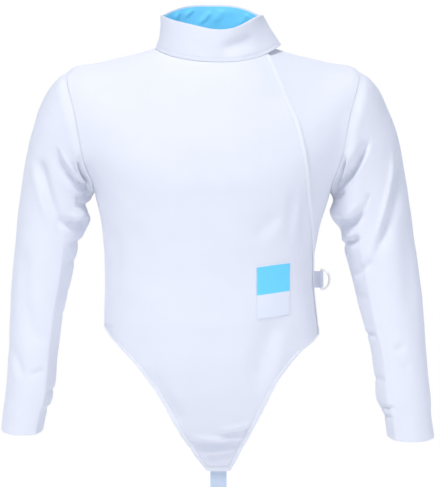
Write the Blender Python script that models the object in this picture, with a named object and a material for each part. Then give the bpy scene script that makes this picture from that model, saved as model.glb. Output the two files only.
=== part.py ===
"""A fencing jacket, filled out as it is worn, with nothing inside it.

It is cut as the real one is: a wide front that laps over a narrow underlap and closes on the
wearer's left, a back, two-piece sleeves with underarm gussets, a stand collar with a coloured
lining, a pointed front hem with its binding, a crotch strap loop, a patch and a D-ring tab.

Metres, +Z up. The front faces -Y and the wearer's left is +X. The origin is the middle of the
neck, level with the collar seam at the shoulders. Every panel is a wall worked out from rings.
"""

import math
from collections import namedtuple

import bmesh
import bpy
import numpy as np

# Driving dimensions
CLOTH = 0.0020  # two layers of the jacket's woven cloth
SEAM_GAP = 0.00034  # left between two panels at a seam
LAP_GAP = 0.0014  # left between two layers that only lie on each other
PATCH_GAP = 0.00045  # left between a panel and what is sewn flat on it
OVERLAP = 0.045  # how far the underlap reaches behind the front's edge
HALF_TURN = math.pi
QUARTER_TURN = math.pi / 2
SHARP_EDGE = math.radians(50)

# Rings of the body, from the neck seam down. half is half the width about centre, front and
# back are depths, and the three heights are at the side, the front's middle and the back's.
# square is the superellipse power: 2 is an ellipse, and more is fuller at the corners.
TorsoRing = namedtuple("TorsoRing", "half centre front back side_z front_z back_z square")
TORSO_RINGS = (
    TorsoRing(0.091, 0.003, 0.072, 0.058, 0.010, -0.0165, 0.026, 2.00),  # neck seam
    TorsoRing(0.129, 0.002, 0.092, 0.082, -0.001, -0.058, -0.016, 1.96),
    TorsoRing(0.171, 0.001, 0.107, 0.099, -0.011, -0.104, -0.068, 1.92),
    TorsoRing(0.214, 0.000, 0.117, 0.110, -0.024, -0.146, -0.122, 1.94),  # shoulder points
    TorsoRing(0.212, -0.001, 0.121, 0.115, -0.072, -0.174, -0.160, 2.16),
    TorsoRing(0.199, -0.001, 0.122, 0.115, -0.136, -0.198, -0.190, 2.30),
    TorsoRing(0.179, -0.001, 0.119, 0.110, -0.208, -0.223, -0.220, 2.36),  # armpits
    TorsoRing(0.164, -0.0035, 0.114, 0.102, -0.268, -0.268, -0.268, 2.36),
    TorsoRing(0.157, -0.007, 0.107, 0.094, -0.336, -0.336, -0.336, 2.34),  # waist
    TorsoRing(0.160, -0.005, 0.107, 0.097, -0.408, -0.408, -0.408, 2.32),  # hem at the side
    TorsoRing(0.164, -0.001, 0.106, 0.101, -0.455, -0.455, -0.455, 2.28),
    TorsoRing(0.163, 0.001, 0.099, 0.101, -0.502, -0.502, -0.502, 2.24),
    TorsoRing(0.153, 0.003, 0.085, 0.095, -0.554, -0.554, -0.554, 2.20),
    TorsoRing(0.141, 0.005, 0.066, 0.090, -0.598, -0.598, -0.598, 2.20),
    TorsoRing(0.132, 0.006, 0.049, 0.090, -0.626, -0.626, -0.626, 2.20),  # tip of the point
)
SHOULDER_DROP = 1.4  # how soon a ring falls away from the shoulder: 2 is slow and 1 is a sharp ridge
SHOULDER_LEVEL = 3.0
ARMPIT_LEVEL = 6.0
SIDE_HEM_LEVEL = 9.0
UNDERLAP_HEM_LEVEL = 9.28
CLOSING_HEM_LEVEL = 9.30
TIP_LEVEL = 14.0

# The pointed hem of the front: its two edges at a few heights, with a straight tip.
HemRow = namedtuple("HemRow", "z right_x left_x")
POINT_HEM = (
    HemRow(-0.408, -0.1648, 0.1547),
    HemRow(-0.423, -0.1541, 0.1550),
    HemRow(-0.432, -0.1455, 0.1470),
    HemRow(-0.444, -0.1335, 0.1320),
    HemRow(-0.464, -0.1140, 0.1137),
    HemRow(-0.487, -0.0970, 0.0960),
    HemRow(-0.515, -0.0785, 0.0823),
    HemRow(-0.545, -0.0620, 0.0674),
    HemRow(-0.573, -0.0457, 0.0535),
    HemRow(-0.601, -0.0283, 0.0393),
    HemRow(-0.626, -0.0095, 0.0260),
)

# The front's free edge: its angle round each body ring, from the collar to the hem.
CLOSING_EDGE_DEG = (57, 47, 41, 37, 38, 42, 50.5, 65, 80, 84, 85, 85, 85, 85, 85)
RIDE_UP = math.radians(30)  # how far before the underlap the front starts to ride up over it
RIDE_UP_DONE = math.radians(2)  # and how far before it the front is all the way up
NECK_STEP = 0.085  # of a level: how far the lap steps down the front from the collar's seam

# Armholes: how far each cuts into the front and the back, measured round the body.
ARMHOLE_FRONT = math.radians(21)
ARMHOLE_BACK = math.radians(26)
ARMHOLE_STEPS = 12  # rows of a panel beside each armhole, and half the sleeve's columns
FRONT_TURN = np.linspace(0, HALF_TURN, ARMHOLE_STEPS + 1)
BACK_TURN = -FRONT_TURN

# How finely the body's panels are divided
NECK_ROWS = 5
SIDE_ROWS = 7
ARMHOLE_ROWS = slice(NECK_ROWS, NECK_ROWS + ARMHOLE_STEPS + 1)
FRONT_COLUMNS = 19
BACK_COLUMNS = 19
UNDERLAP_COLUMNS = 7
POINT_LEVELS = np.concatenate(
    [(9.05, 9.12, 9.2, CLOSING_HEM_LEVEL, 9.5, 9.8), np.arange(10.3, 13, 0.5), (13.2, 13.55, 13.8, TIP_LEVEL)]
)

# Rings of the sleeves below the armhole. outer and inner are the points of the outline seen
# from the front; mid_y and half_depth place the ring from front to back.
SleeveRing = namedtuple("SleeveRing", "outer_x outer_z inner_x inner_z mid_y half_depth")
CUFF_DIP = 0.006  # the cuffs' lower edges hang this much lower in front, and higher behind
LEFT_SLEEVE = (
    SleeveRing(0.233, -0.035, 0.1815, -0.2150, 0.000, 0.0580),
    SleeveRing(0.250, -0.053, 0.1830, -0.2190, 0.002, 0.0600),
    SleeveRing(0.265, -0.082, 0.1830, -0.2235, 0.004, 0.0610),
    SleeveRing(0.278, -0.114, 0.1805, -0.2295, 0.005, 0.0605),
    SleeveRing(0.287, -0.150, 0.1780, -0.2385, 0.006, 0.0595),
    SleeveRing(0.293, -0.187, 0.1830, -0.2510, 0.007, 0.0580),
    SleeveRing(0.299, -0.226, 0.1945, -0.2660, 0.008, 0.0560),
    SleeveRing(0.305, -0.268, 0.1975, -0.2870, 0.008, 0.0545),
    SleeveRing(0.313, -0.325, 0.2090, -0.3270, 0.007, 0.0525),
    SleeveRing(0.320, -0.388, 0.2240, -0.3890, 0.004, 0.0505),
    SleeveRing(0.323, -0.442, 0.2390, -0.4420, -0.001, 0.0475),
    SleeveRing(0.326, -0.487, 0.2460, -0.4890, -0.006, 0.0450),
    SleeveRing(0.3295, -0.518, 0.2480, -0.5200, -0.010, 0.0430),
    SleeveRing(0.3300, -0.545, 0.2585, -0.5450, -0.013, 0.0400),  # top of the cuff
    SleeveRing(0.3340, -0.577, 0.2630, -0.5760, -0.016, 0.0390),  # cuff edge
)
RIGHT_SLEEVE = (
    SleeveRing(-0.232, -0.036, -0.1835, -0.2150, 0.000, 0.0580),
    SleeveRing(-0.248, -0.053, -0.1855, -0.2190, 0.002, 0.0600),
    SleeveRing(-0.263, -0.081, -0.1870, -0.2235, 0.004, 0.0610),
    SleeveRing(-0.274, -0.113, -0.1890, -0.2295, 0.005, 0.0605),
    SleeveRing(-0.283, -0.150, -0.1905, -0.2380, 0.006, 0.0590),
    SleeveRing(-0.290, -0.190, -0.1870, -0.2500, 0.007, 0.0575),
    SleeveRing(-0.296, -0.234, -0.1955, -0.2690, 0.008, 0.0550),
    SleeveRing(-0.301, -0.284, -0.2060, -0.2950, 0.008, 0.0530),
    SleeveRing(-0.306, -0.340, -0.2165, -0.3420, 0.007, 0.0510),
    SleeveRing(-0.309, -0.395, -0.2285, -0.3960, 0.004, 0.0490),
    SleeveRing(-0.310, -0.448, -0.2355, -0.4490, -0.001, 0.0460),
    SleeveRing(-0.313, -0.492, -0.2390, -0.4930, -0.006, 0.0435),
    SleeveRing(-0.315, -0.520, -0.2440, -0.5210, -0.010, 0.0415),
    SleeveRing(-0.318, -0.543, -0.2520, -0.5430, -0.013, 0.0385),  # top of the cuff
    SleeveRing(-0.320, -0.566, -0.2570, -0.5670, -0.016, 0.0375),  # cuff edge
)
CUFF_LEVEL = 15.0
GUSSET_LEVEL = 7.0  # the gusset runs from the armhole down to this ring
SLEEVE_SEAM_COLUMNS = (8, 15)  # front and back seams, counted in columns from the outer fold

# Main creases of the sleeves, as troughs pressed into the front face (-1) or back face (+1).
Crease = namedtuple("Crease", "face start_x start_z end_x end_z depth spread")
SLEEVE_CREASES = (
    Crease(-1, 0.238, -0.118, 0.186, -0.205, 0.0060, 0.0100),
    Crease(-1, 0.283, -0.150, 0.246, -0.312, 0.0045, 0.0130),
    Crease(-1, 0.262, -0.228, 0.200, -0.262, 0.0040, 0.0090),
    Crease(-1, -0.241, -0.150, -0.184, -0.226, 0.0060, 0.0100),
    Crease(-1, -0.268, -0.165, -0.240, -0.292, 0.0045, 0.0130),
    Crease(-1, -0.250, -0.250, -0.200, -0.283, 0.0040, 0.0090),
    Crease(1, 0.246, -0.130, 0.190, -0.215, 0.0055, 0.0110),
    Crease(1, 0.284, -0.190, 0.240, -0.300, 0.0040, 0.0130),
    Crease(1, -0.246, -0.135, -0.188, -0.215, 0.0055, 0.0110),
    Crease(1, -0.278, -0.200, -0.236, -0.310, 0.0040, 0.0130),
)

# Collar: a strip that goes once round the neck and laps over its own start.
COLLAR_CLOTH = 0.0022
COLLAR_LINING = 0.0010
COLLAR_HALF_WIDTH = 0.0765
COLLAR_CENTRE_X = -0.003
COLLAR_FRONT_Y = -0.074
COLLAR_BACK_Y = 0.050
COLLAR_FRONT_Z = 0.033
COLLAR_SIDE_Z = 0.062
COLLAR_BACK_Z = 0.0815
COLLAR_LAP = 0.0032  # how far the lapped end stands out from the start of the strip
COLLAR_END = math.radians(360 + 86)
COLLAR_END_FLARE = 0.007  # the lower corner of the free end springs away from the neck
COLLAR_END_LIFT = 0.004  # and rises off the seam
COLLAR_SPRING = math.radians(40)  # the stretch of the free end that does so
COLLAR_START_GAP = math.radians(1.5)  # from the underlap's edge to the start of the strip
LINING_END_GAP = math.radians(1.2)
LINING_HEIGHTS = (0.04, 0.95)  # shares of the collar's height
COLLAR_COLUMNS = 32  # to a full turn
COLLAR_ROWS = 4

# Trims
BINDING_WIDTH = 0.0075
BINDING_SLANT = 1.25  # how much wider the binding is across a ring than square to its edge
BINDING_CLOTH = 0.0009
PATCH_CLOTH = 0.0007
PATCH_X = (0.064, 0.1125)
PATCH_TOP_Z = -0.319
PATCH_HEIGHT = 0.078
PATCH_RISE = 0.0065  # its far side sits this much higher than its near side
WEBBING = 0.0014
WEBBING_WIDTH = 0.025
RING_WIRE = 0.0016
RING_HEIGHT = 0.0300  # between the middles of the wire
RING_REACH = 0.0125
RING_CORNER = 0.0020
TAB_Z = -0.341
TAB_REACH = 0.0140  # from the side of the jacket to the middle of the ring's straight bar
TAB_EYE_GAP = 0.0004  # between the bar and the webbing round it
TAB_LEG = 0.0009  # from the tab's middle to the middle of each of its two layers
STRAP_TOP_Z = -0.604
STRAP_DROP = 0.0250  # how far the strap loop shows below the tip
STRAP_FOLD = 0.0022  # radius of the fold at the loop's bottom
STRAP_HANG = 0.0012  # how far the loop hangs behind the line of its seat
STRAP_FREE = 0.0060  # below the tip, where the loop hangs straight

# Colours as they look under even light, and roughness
FINISHES = {
    "white_cloth": ((0.86, 0.87, 0.93, 1.0), 0.85, 0.0),
    "blue_lining": ((0.10, 0.50, 0.93, 1.0), 0.75, 0.0),
    "binding_tape": ((0.88, 0.89, 0.94, 1.0), 0.80, 0.0),
    "patch": ((0.32, 0.74, 0.95, 1.0), 0.60, 0.0),
    "grey_elastic": ((0.62, 0.70, 0.80, 1.0), 0.80, 0.0),
    "white_webbing": ((0.80, 0.82, 0.88, 1.0), 0.80, 0.0),
    "steel_wire": ((0.78, 0.79, 0.80, 1.0), 0.30, 1.0),
}


def smoothstep(value):
    """0 below 0, 1 above 1, and a soft S between."""
    t = np.clip(value, 0.0, 1.0)
    return t * t * (3 - 2 * t)


def unit(vectors):
    """Vectors of length 1."""
    return vectors / np.maximum(np.linalg.norm(vectors, axis=-1, keepdims=True), 1e-12)


def through_rows(rows, level):
    """A smooth curve through rows, whose first axis is the level: a cubic with each row's own slope."""
    rows = np.asarray(rows, float)
    level = np.asarray(level, float)
    slopes = np.gradient(rows, axis=0)
    below = np.clip(np.floor(level).astype(int), 0, len(rows) - 2)
    t = (level - below)[..., None]
    if rows.ndim == 2:
        low, high, out, into = rows[below], rows[below + 1], slopes[below], slopes[below + 1]
    else:
        pick = np.broadcast_to(below[..., None], rows.shape[1:])[None]
        low = np.take_along_axis(rows, pick, 0)[0]
        high = np.take_along_axis(rows, pick + 1, 0)[0]
        out = np.take_along_axis(slopes, pick, 0)[0]
        into = np.take_along_axis(slopes, pick + 1, 0)[0]
    return (
        low * (1 + 2 * t) * (1 - t) ** 2
        + out * t * (1 - t) ** 2
        + high * t * t * (3 - 2 * t)
        + into * t * t * (t - 1)
    )


# A panel's two faces, the form's normals under them, and where its rows and columns lie
Panel = namedtuple("Panel", "outer inner normals theta levels")


def normals_of(surface, across, down):
    """Outward unit normals of surface(across, down), from its two slopes."""
    step = 1e-3
    along = surface(across + step, down) - surface(across - step, down)
    fall = surface(across, down + step) - surface(across, down - step)
    return unit(np.cross(fall, along))


def torso_point(theta, level):
    """The body's rings. theta is 0 at the front's middle and 90 degrees at the wearer's left."""
    theta, level = np.broadcast_arrays(np.asarray(theta, float), np.asarray(level, float))
    half, centre, front, back, side_z, front_z, back_z, square = np.moveaxis(
        through_rows(TORSO_RINGS, level), -1, 0
    )
    sine, cosine = np.sin(theta), np.cos(theta)
    in_front = cosine > 0
    depth = np.where(in_front, -front, back) * np.abs(cosine) ** (2 / square)
    middle_z = np.where(in_front, front_z, back_z)
    return np.stack(
        [
            centre + half * np.sign(sine) * np.abs(sine) ** (2 / square),
            depth,
            side_z + (middle_z - side_z) * np.abs(cosine) ** SHOULDER_DROP,
        ],
        axis=-1,
    )


def closing_edge(level):
    """The angle of the front's free edge at a level."""
    degrees = through_rows(np.array(CLOSING_EDGE_DEG, float)[:, None], level)[..., 0]
    return np.radians(degrees)


def underlap_edge(level):
    """The angle of the underlap's hidden edge at a level."""
    half = through_rows(TORSO_RINGS, level)[..., 0]
    return closing_edge(level) - OVERLAP / half


def ride_up(theta, level):
    """0 where the front lies on the body's form, and 1 where it has risen over the underlap."""
    return smoothstep((theta - underlap_edge(level) + RIDE_UP) / (RIDE_UP - RIDE_UP_DONE))


def front_point(theta, level):
    """The outer face of the front, which rises by one layer over the underlap."""
    rise = (CLOTH + LAP_GAP) * ride_up(theta, level)
    return torso_point(theta, level) + rise[..., None] * normals_of(torso_point, theta, level)


def level_at(z):
    """The body level of a height below the armpits, where the rings are level."""
    levels = np.linspace(ARMPIT_LEVEL + 1, TIP_LEVEL, 400)
    heights = through_rows(TORSO_RINGS, levels)[:, 4]
    return np.interp(-np.asarray(z), -heights, levels)


def theta_at(x, level):
    """The angle on the front at which a ring has a given x."""
    ring = through_rows(TORSO_RINGS, level)
    share = np.clip((x - ring[..., 1]) / ring[..., 0], -1, 1)
    return np.sign(share) * np.arcsin(np.abs(share) ** (ring[..., 7] / 2))


def point_hem_edge(level, column):
    """The angle of the pointed hem's edge at a level, from its outline seen from the front."""
    heights = through_rows(TORSO_RINGS, level)[..., 4]
    rows = np.array(POINT_HEM)
    x = np.interp(-heights, -rows[:, 0], rows[:, column])
    return theta_at(x, level)


def armhole_share(level):
    """0 at the shoulder point and the armpit, and 1 where the armhole is widest."""
    t = np.clip((level - SHOULDER_LEVEL) / (ARMPIT_LEVEL - SHOULDER_LEVEL), 0, 1)
    return 2 * np.sqrt(t * (1 - t))


def armhole_levels():
    """The body levels of the armhole's points, evenly spaced round the sleeve."""
    turn = np.linspace(0, HALF_TURN, ARMHOLE_STEPS + 1)
    return SHOULDER_LEVEL + (ARMPIT_LEVEL - SHOULDER_LEVEL) * (1 - np.cos(turn)) / 2


def armhole_place(side, phi):
    """The body's theta and level at an angle round the armhole: 0 at the top, and a quarter turn in front."""
    sine = np.sin(phi)
    cut = np.where(sine > 0, ARMHOLE_FRONT, ARMHOLE_BACK) * sine
    level = SHOULDER_LEVEL + (ARMPIT_LEVEL - SHOULDER_LEVEL) * (1 - np.cos(phi)) / 2
    return side * (QUARTER_TURN - cut), level


def sleeve_point(side, phi, level):
    """A sleeve: level 0 is the armhole's own curve, and each ring below is an ellipse from the table."""
    phi, level = np.broadcast_arrays(np.asarray(phi, float), np.asarray(level, float))
    rings = [torso_point(*armhole_place(side, phi))]
    for ring in LEFT_SLEEVE if side > 0 else RIGHT_SLEEVE:
        outer = np.array([ring.outer_x, ring.mid_y, ring.outer_z])
        inner = np.array([ring.inner_x, ring.mid_y, ring.inner_z])
        depth = np.array([0, -ring.half_depth, -CUFF_DIP * (len(rings) >= CUFF_LEVEL - 1)])
        rings.append(
            (outer + inner) / 2
            + (outer - inner) / 2 * np.cos(phi)[..., None]
            + depth * np.sin(phi)[..., None]
        )
    return through_rows(np.stack(rings), level)


def sleeve_normals(side, phi, level):
    """Outward normals of a sleeve."""
    found = normals_of(lambda a, b: sleeve_point(side, a, b), phi, level)
    return found * -side


def creased(points, normals, creases):
    """Points pressed in along each crease: a soft trough that fades out towards both of its ends."""
    pressed = np.zeros(points.shape[:-1])
    for crease in creases:
        start = np.array([crease.start_x, crease.start_z])
        run = np.array([crease.end_x, crease.end_z]) - start
        offset = points[..., [0, 2]] - start
        share = offset @ run / (run @ run)
        nearest = np.clip(share, 0, 1)[..., None] * run
        away = np.linalg.norm(offset - nearest, axis=-1)
        facing = smoothstep(normals[..., 1] * crease.face * 2.5)
        fade = smoothstep((share + 0.25) / 0.5) * smoothstep((1.25 - share) / 0.5)
        pressed += crease.depth * np.exp(-((away / crease.spread) ** 2)) * facing * fade
    return pressed


def armhole_seam(side, phi):
    """Armhole points, the mean normal of body and sleeve there, and the way from the body to the sleeve."""
    theta, level = armhole_place(side, phi)
    points = torso_point(theta, level)
    body = normals_of(torso_point, theta, level)
    sleeve = sleeve_normals(side, phi, np.full_like(phi, 1e-3))
    mean = unit(body + sleeve)
    step = 1e-3
    ahead = torso_point(*armhole_place(side, phi + step))
    behind = torso_point(*armhole_place(side, phi - step))
    away = unit(np.cross(mean, ahead - behind))
    outward = sleeve_point(side, phi, np.full_like(phi, 0.3)) - points
    away *= np.sign(np.sum(away * outward, axis=-1, keepdims=True))
    mitre = np.minimum(1 / np.sum(mean * body, axis=-1, keepdims=True), 1.5)
    return points, mean * mitre, away


def finish(name):
    """The material of that name, made once."""
    if name in bpy.data.materials:
        return bpy.data.materials[name]
    colour, roughness, metallic = FINISHES[name]
    material = bpy.data.materials.new(name)
    material.use_nodes = True
    shader = material.node_tree.nodes["Principled BSDF"]
    shader.inputs["Base Color"].default_value = colour
    shader.inputs["Roughness"].default_value = roughness
    shader.inputs["Metallic"].default_value = metallic
    material.diffuse_color = colour
    return material


def wall(name, outer, inner, material):
    """One closed solid between two grids of points that match: both faces, and a rim round the edge."""
    rows, columns = outer.shape[:2]
    mesh = bpy.data.meshes.new(name)
    shape = bmesh.new()
    faces = []
    for grid in (outer, inner):
        faces.append([[shape.verts.new(point) for point in row] for row in grid])
    for grid in faces:
        for i in range(rows - 1):
            for j in range(columns - 1):
                shape.faces.new((grid[i][j], grid[i][j + 1], grid[i + 1][j + 1], grid[i + 1][j]))
    edge = [(0, j) for j in range(columns)]
    edge += [(i, columns - 1) for i in range(1, rows)]
    edge += [(rows - 1, j) for j in range(columns - 2, -1, -1)]
    edge += [(i, 0) for i in range(rows - 2, 0, -1)]
    top, bottom = faces
    for ends in zip(edge, edge[1:] + edge[:1]):
        # Both sides of a seam split their rim faces along the same diagonal.
        (i, j), (k, m) = sorted(ends)
        shape.faces.new((top[i][j], top[k][m], bottom[k][m]))
        shape.faces.new((top[i][j], bottom[k][m], bottom[i][j]))
    bmesh.ops.recalc_face_normals(shape, faces=shape.faces)
    shape.to_mesh(mesh)
    shape.free()
    mesh.shade_smooth()
    mesh.set_sharp_from_angle(angle=SHARP_EDGE)
    mesh.materials.append(finish(material))
    piece = bpy.data.objects.new(name, mesh)
    bpy.context.scene.collection.objects.link(piece)
    return piece


def pulled_back(outer, inner, edges):
    """Both grids with the named edges moved back towards the panel by half a seam's gap."""
    outer, inner = outer.copy(), inner.copy()
    ends = {"first": (0, 1), "last": (-1, -2)}
    for direction, end in edges:
        at, beside = ends[end]
        for grid in (outer, inner):
            view = grid if direction == "row" else grid.swapaxes(0, 1)
            view[at] += unit(view[beside] - view[at]) * SEAM_GAP / 2
    return outer, inner


def meet_armhole(outer, inner, rows, column, side, phi):
    """Sets a panel's points beside an armhole on the mean normal, half a gap back from the seam."""
    points, mean, away = armhole_seam(side, phi)
    outer[rows, column] = points - away * SEAM_GAP / 2
    inner[rows, column] = outer[rows, column] - mean * CLOTH


def panel_levels(bottom):
    """The levels of a body panel's rows, from the neck seam to the level of the side hem."""
    neck = np.linspace(0, SHOULDER_LEVEL, NECK_ROWS + 1)[:-1]
    below = np.linspace(ARMPIT_LEVEL, bottom, SIDE_ROWS + 1)[1:]
    return np.concatenate([neck, armhole_levels(), below])


def spread_columns(right_limit, left_limit):
    """Column angles for each row: even in the middle, and drawn in towards a limit short of 90 degrees."""
    share = np.linspace(-1, 1, FRONT_COLUMNS)
    limit = np.where(share < 0, right_limit[:, None], left_limit[:, None])
    shortfall = np.maximum(QUARTER_TURN - limit, 1e-6)
    power = np.clip(0.8 * QUARTER_TURN / shortfall, 1, 6)
    return np.sign(share) * (QUARTER_TURN * np.abs(share) - shortfall * np.abs(share) ** power)


def front():
    """The wide front: from the right side seam across to its free edge, and down to the point."""
    levels = np.concatenate([panel_levels(SIDE_HEM_LEVEL), POINT_LEVELS])
    right = -(QUARTER_TURN - ARMHOLE_FRONT * armhole_share(levels))
    right = np.where(levels > SIDE_HEM_LEVEL, point_hem_edge(levels, 1), right)
    left = closing_edge(levels)
    left = np.where(levels > CLOSING_HEM_LEVEL, point_hem_edge(levels, 2), left)
    # The outermost column on each side is as wide as the binding.
    half = through_rows(TORSO_RINGS, levels)[:, 0]
    band = BINDING_WIDTH / half * np.where(levels > SIDE_HEM_LEVEL, BINDING_SLANT, 1.0)
    middle = spread_columns(-right - band, left - band)
    theta = np.column_stack([right, middle, left])
    level = np.repeat(levels[:, None], theta.shape[1], axis=1)
    # The neck edge steps out round the collar where the front laps over.
    level[0] += NECK_STEP * ride_up(theta[0], 0.0)
    normals = normals_of(torso_point, theta, level)
    outer = front_point(theta, level)
    inner = outer - CLOTH * normals
    meet_armhole(outer, inner, ARMHOLE_ROWS, 0, -1, FRONT_TURN)
    seam_rows = slice(0, len(panel_levels(SIDE_HEM_LEVEL)))
    seam = pulled_back(outer[seam_rows], inner[seam_rows], [("column", "first")])
    outer[seam_rows], inner[seam_rows] = seam
    wall("front", outer, inner, "white_cloth")
    return Panel(outer, inner, normals, theta, levels)


def underlap():
    """The narrow left front, which the wide front covers down its inner side."""
    levels = panel_levels(UNDERLAP_HEM_LEVEL)
    hidden = underlap_edge(levels)
    side = QUARTER_TURN - ARMHOLE_FRONT * armhole_share(levels)
    share = np.linspace(0, 1, UNDERLAP_COLUMNS)
    theta = hidden[:, None] + (side - hidden)[:, None] * share
    level = np.repeat(levels[:, None], UNDERLAP_COLUMNS, axis=1)
    outer = torso_point(theta, level)
    inner = outer - CLOTH * normals_of(torso_point, theta, level)
    meet_armhole(outer, inner, ARMHOLE_ROWS, -1, 1, FRONT_TURN)
    outer, inner = pulled_back(outer, inner, [("column", "last")])
    return wall("underlap", outer, inner, "white_cloth")


def back():
    """The back, from the left side seam round to the right one."""
    levels = panel_levels(SIDE_HEM_LEVEL)
    cut = ARMHOLE_BACK * armhole_share(levels)
    left = QUARTER_TURN + cut
    right = 3 * QUARTER_TURN - cut
    share = np.linspace(0, 1, BACK_COLUMNS)
    theta = left[:, None] + (right - left)[:, None] * share
    # The hem drops to meet the underlap's lower corner on the left.
    drop = (UNDERLAP_HEM_LEVEL - SIDE_HEM_LEVEL) * smoothstep(1 - share)
    below_armpit = np.clip((levels - ARMPIT_LEVEL) / (SIDE_HEM_LEVEL - ARMPIT_LEVEL), 0, 1)
    level = levels[:, None] + below_armpit[:, None] * drop
    outer = torso_point(theta, level)
    inner = outer - CLOTH * normals_of(torso_point, theta, level)
    meet_armhole(outer, inner, ARMHOLE_ROWS, 0, 1, BACK_TURN)
    meet_armhole(outer, inner, ARMHOLE_ROWS, -1, -1, BACK_TURN)
    outer, inner = pulled_back(outer, inner, [("column", "first"), ("column", "last")])
    return wall("back", outer, inner, "white_cloth")


def sleeve_levels():
    """The levels of a sleeve's rows: close together at the bunched underarm and at the cuff."""
    underarm = np.concatenate([np.arange(0, 3, 1.0), np.arange(3, 8, 0.5)])
    arm = np.arange(8, 12, 0.75)
    return np.concatenate([underarm, arm, [12.0, 12.6, 13.2, 14.0, 14.5, CUFF_LEVEL]])


def sleeve_panel(name, side, columns, levels, edges):
    """One panel of a sleeve, between two columns of the ring and over some of its rows."""
    first, last = columns
    phi = np.arange(first, last + 1) * HALF_TURN / ARMHOLE_STEPS
    phi, level = np.meshgrid(phi, levels)
    normals = sleeve_normals(side, phi, np.maximum(level, 1e-3))
    outer = sleeve_point(side, phi, level)
    pressed = creased(outer, normals, SLEEVE_CREASES) * smoothstep(level / 2)
    outer = outer - pressed[..., None] * normals
    inner = outer - CLOTH * normals
    if levels[0] == 0:
        points, mean, away = armhole_seam(side, phi[0])
        outer[0] = points + away * SEAM_GAP / 2
        inner[0] = outer[0] - mean * CLOTH
    outer, inner = pulled_back(outer, inner, edges)
    return wall(name, outer, inner, "white_cloth")


def sleeves():
    """Each sleeve is an upper panel, an under panel and a gusset that fills the underarm."""
    front_seam, back_seam = SLEEVE_SEAM_COLUMNS
    levels = sleeve_levels()
    both = [("column", "first"), ("column", "last")]
    for word, side in (("left", 1), ("right", -1)):
        upper = (back_seam - 2 * ARMHOLE_STEPS, front_seam)
        sleeve_panel(f"sleeve_{word}_upper", side, upper, levels, both)
        under = (front_seam, back_seam)
        in_gusset = levels[levels <= GUSSET_LEVEL]
        below = levels[levels >= GUSSET_LEVEL]
        sleeve_panel(f"gusset_{word}", side, under, in_gusset, both + [("row", "last")])
        sleeve_panel(f"sleeve_{word}_under", side, under, below, both + [("row", "first")])


def collar_point(theta, height, inset=0.0):
    """The collar's outer face at a share of its height, with inset measured in towards the neck."""
    second_turn = theta > 3 * QUARTER_TURN
    turn = theta - 2 * HALF_TURN * second_turn
    lapped = np.where(second_turn, ride_up(turn, 0.0), 0.0)
    low = torso_point(turn, NECK_STEP * lapped)
    low = low + (CLOTH + LAP_GAP) * lapped[..., None] * normals_of(torso_point, turn, 0.0 * turn)
    low[..., 2] += SEAM_GAP
    sine, cosine = np.sin(turn), np.cos(turn)
    middle_y = (COLLAR_FRONT_Y + COLLAR_BACK_Y) / 2
    half_y = (COLLAR_BACK_Y - COLLAR_FRONT_Y) / 2
    edge_z = np.where(cosine > 0, COLLAR_FRONT_Z, COLLAR_BACK_Z)
    out = np.stack([sine, -cosine, np.zeros_like(sine)], axis=-1)
    high = np.stack(
        [
            COLLAR_CENTRE_X + COLLAR_HALF_WIDTH * sine,
            middle_y - half_y * cosine,
            COLLAR_SIDE_Z + (edge_z - COLLAR_SIDE_Z) * cosine**2,
        ],
        axis=-1,
    )
    high = high + COLLAR_LAP * lapped[..., None] * out
    springs = smoothstep((theta - COLLAR_END + COLLAR_SPRING) / COLLAR_SPRING)
    flare = COLLAR_END_FLARE * springs * (1 - height)
    point = low + (high - low) * height[..., None]
    point[..., 2] += COLLAR_END_LIFT * springs * (1 - height)
    return point + (flare - inset)[..., None] * out


def collar():
    """The stand collar and the coloured lining inside it."""
    start = float(underlap_edge(0.0)) + COLLAR_START_GAP
    step = 2 * HALF_TURN / COLLAR_COLUMNS
    turn = np.append(np.arange(start, COLLAR_END - step / 2, step), COLLAR_END)
    theta, height = np.meshgrid(turn, np.linspace(0, 1, COLLAR_ROWS + 1))
    outer = collar_point(theta, height)
    inner = collar_point(theta, height, inset=COLLAR_CLOTH)
    wall("collar", outer, inner, "white_cloth")

    # The lining goes round once, and its end just misses its start.
    turn = np.append(turn[:COLLAR_COLUMNS], start + 2 * HALF_TURN - LINING_END_GAP)
    theta, height = np.meshgrid(turn, np.linspace(*LINING_HEIGHTS, COLLAR_ROWS + 1))
    face = COLLAR_CLOTH + PATCH_GAP
    outer = collar_point(theta, height, inset=face)
    inner = collar_point(theta, height, inset=face + COLLAR_LINING)
    wall("collar_lining", outer, inner, "blue_lining")


def on_panel(panel, x, z, out):
    """Points on a panel below the armpits, given as they look from the front, moved out from its cloth."""
    x, z = np.broadcast_arrays(np.asarray(x, float), np.asarray(z, float))
    level = level_at(z)
    theta = theta_at(x, level)
    row = np.interp(level, panel.levels, np.arange(len(panel.levels)))
    above = np.clip(np.floor(row).astype(int), 0, len(panel.levels) - 2)
    down = (row - above)[..., None]
    grid = panel.outer if out > 0 else panel.inner
    ends = []
    for i in (above, above + 1):
        numbers = np.arange(panel.theta.shape[1])
        column = [np.interp(t, panel.theta[k], numbers) for t, k in zip(theta.flat, i.flat)]
        column = np.reshape(column, theta.shape)
        before = np.clip(np.floor(column).astype(int), 0, len(numbers) - 2)
        over = (column - before)[..., None]
        points = grid + out * panel.normals
        ends.append(points[i, before] * (1 - over) + points[i, before + 1] * over)
    return ends[0] * (1 - down) + ends[1] * down


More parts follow.
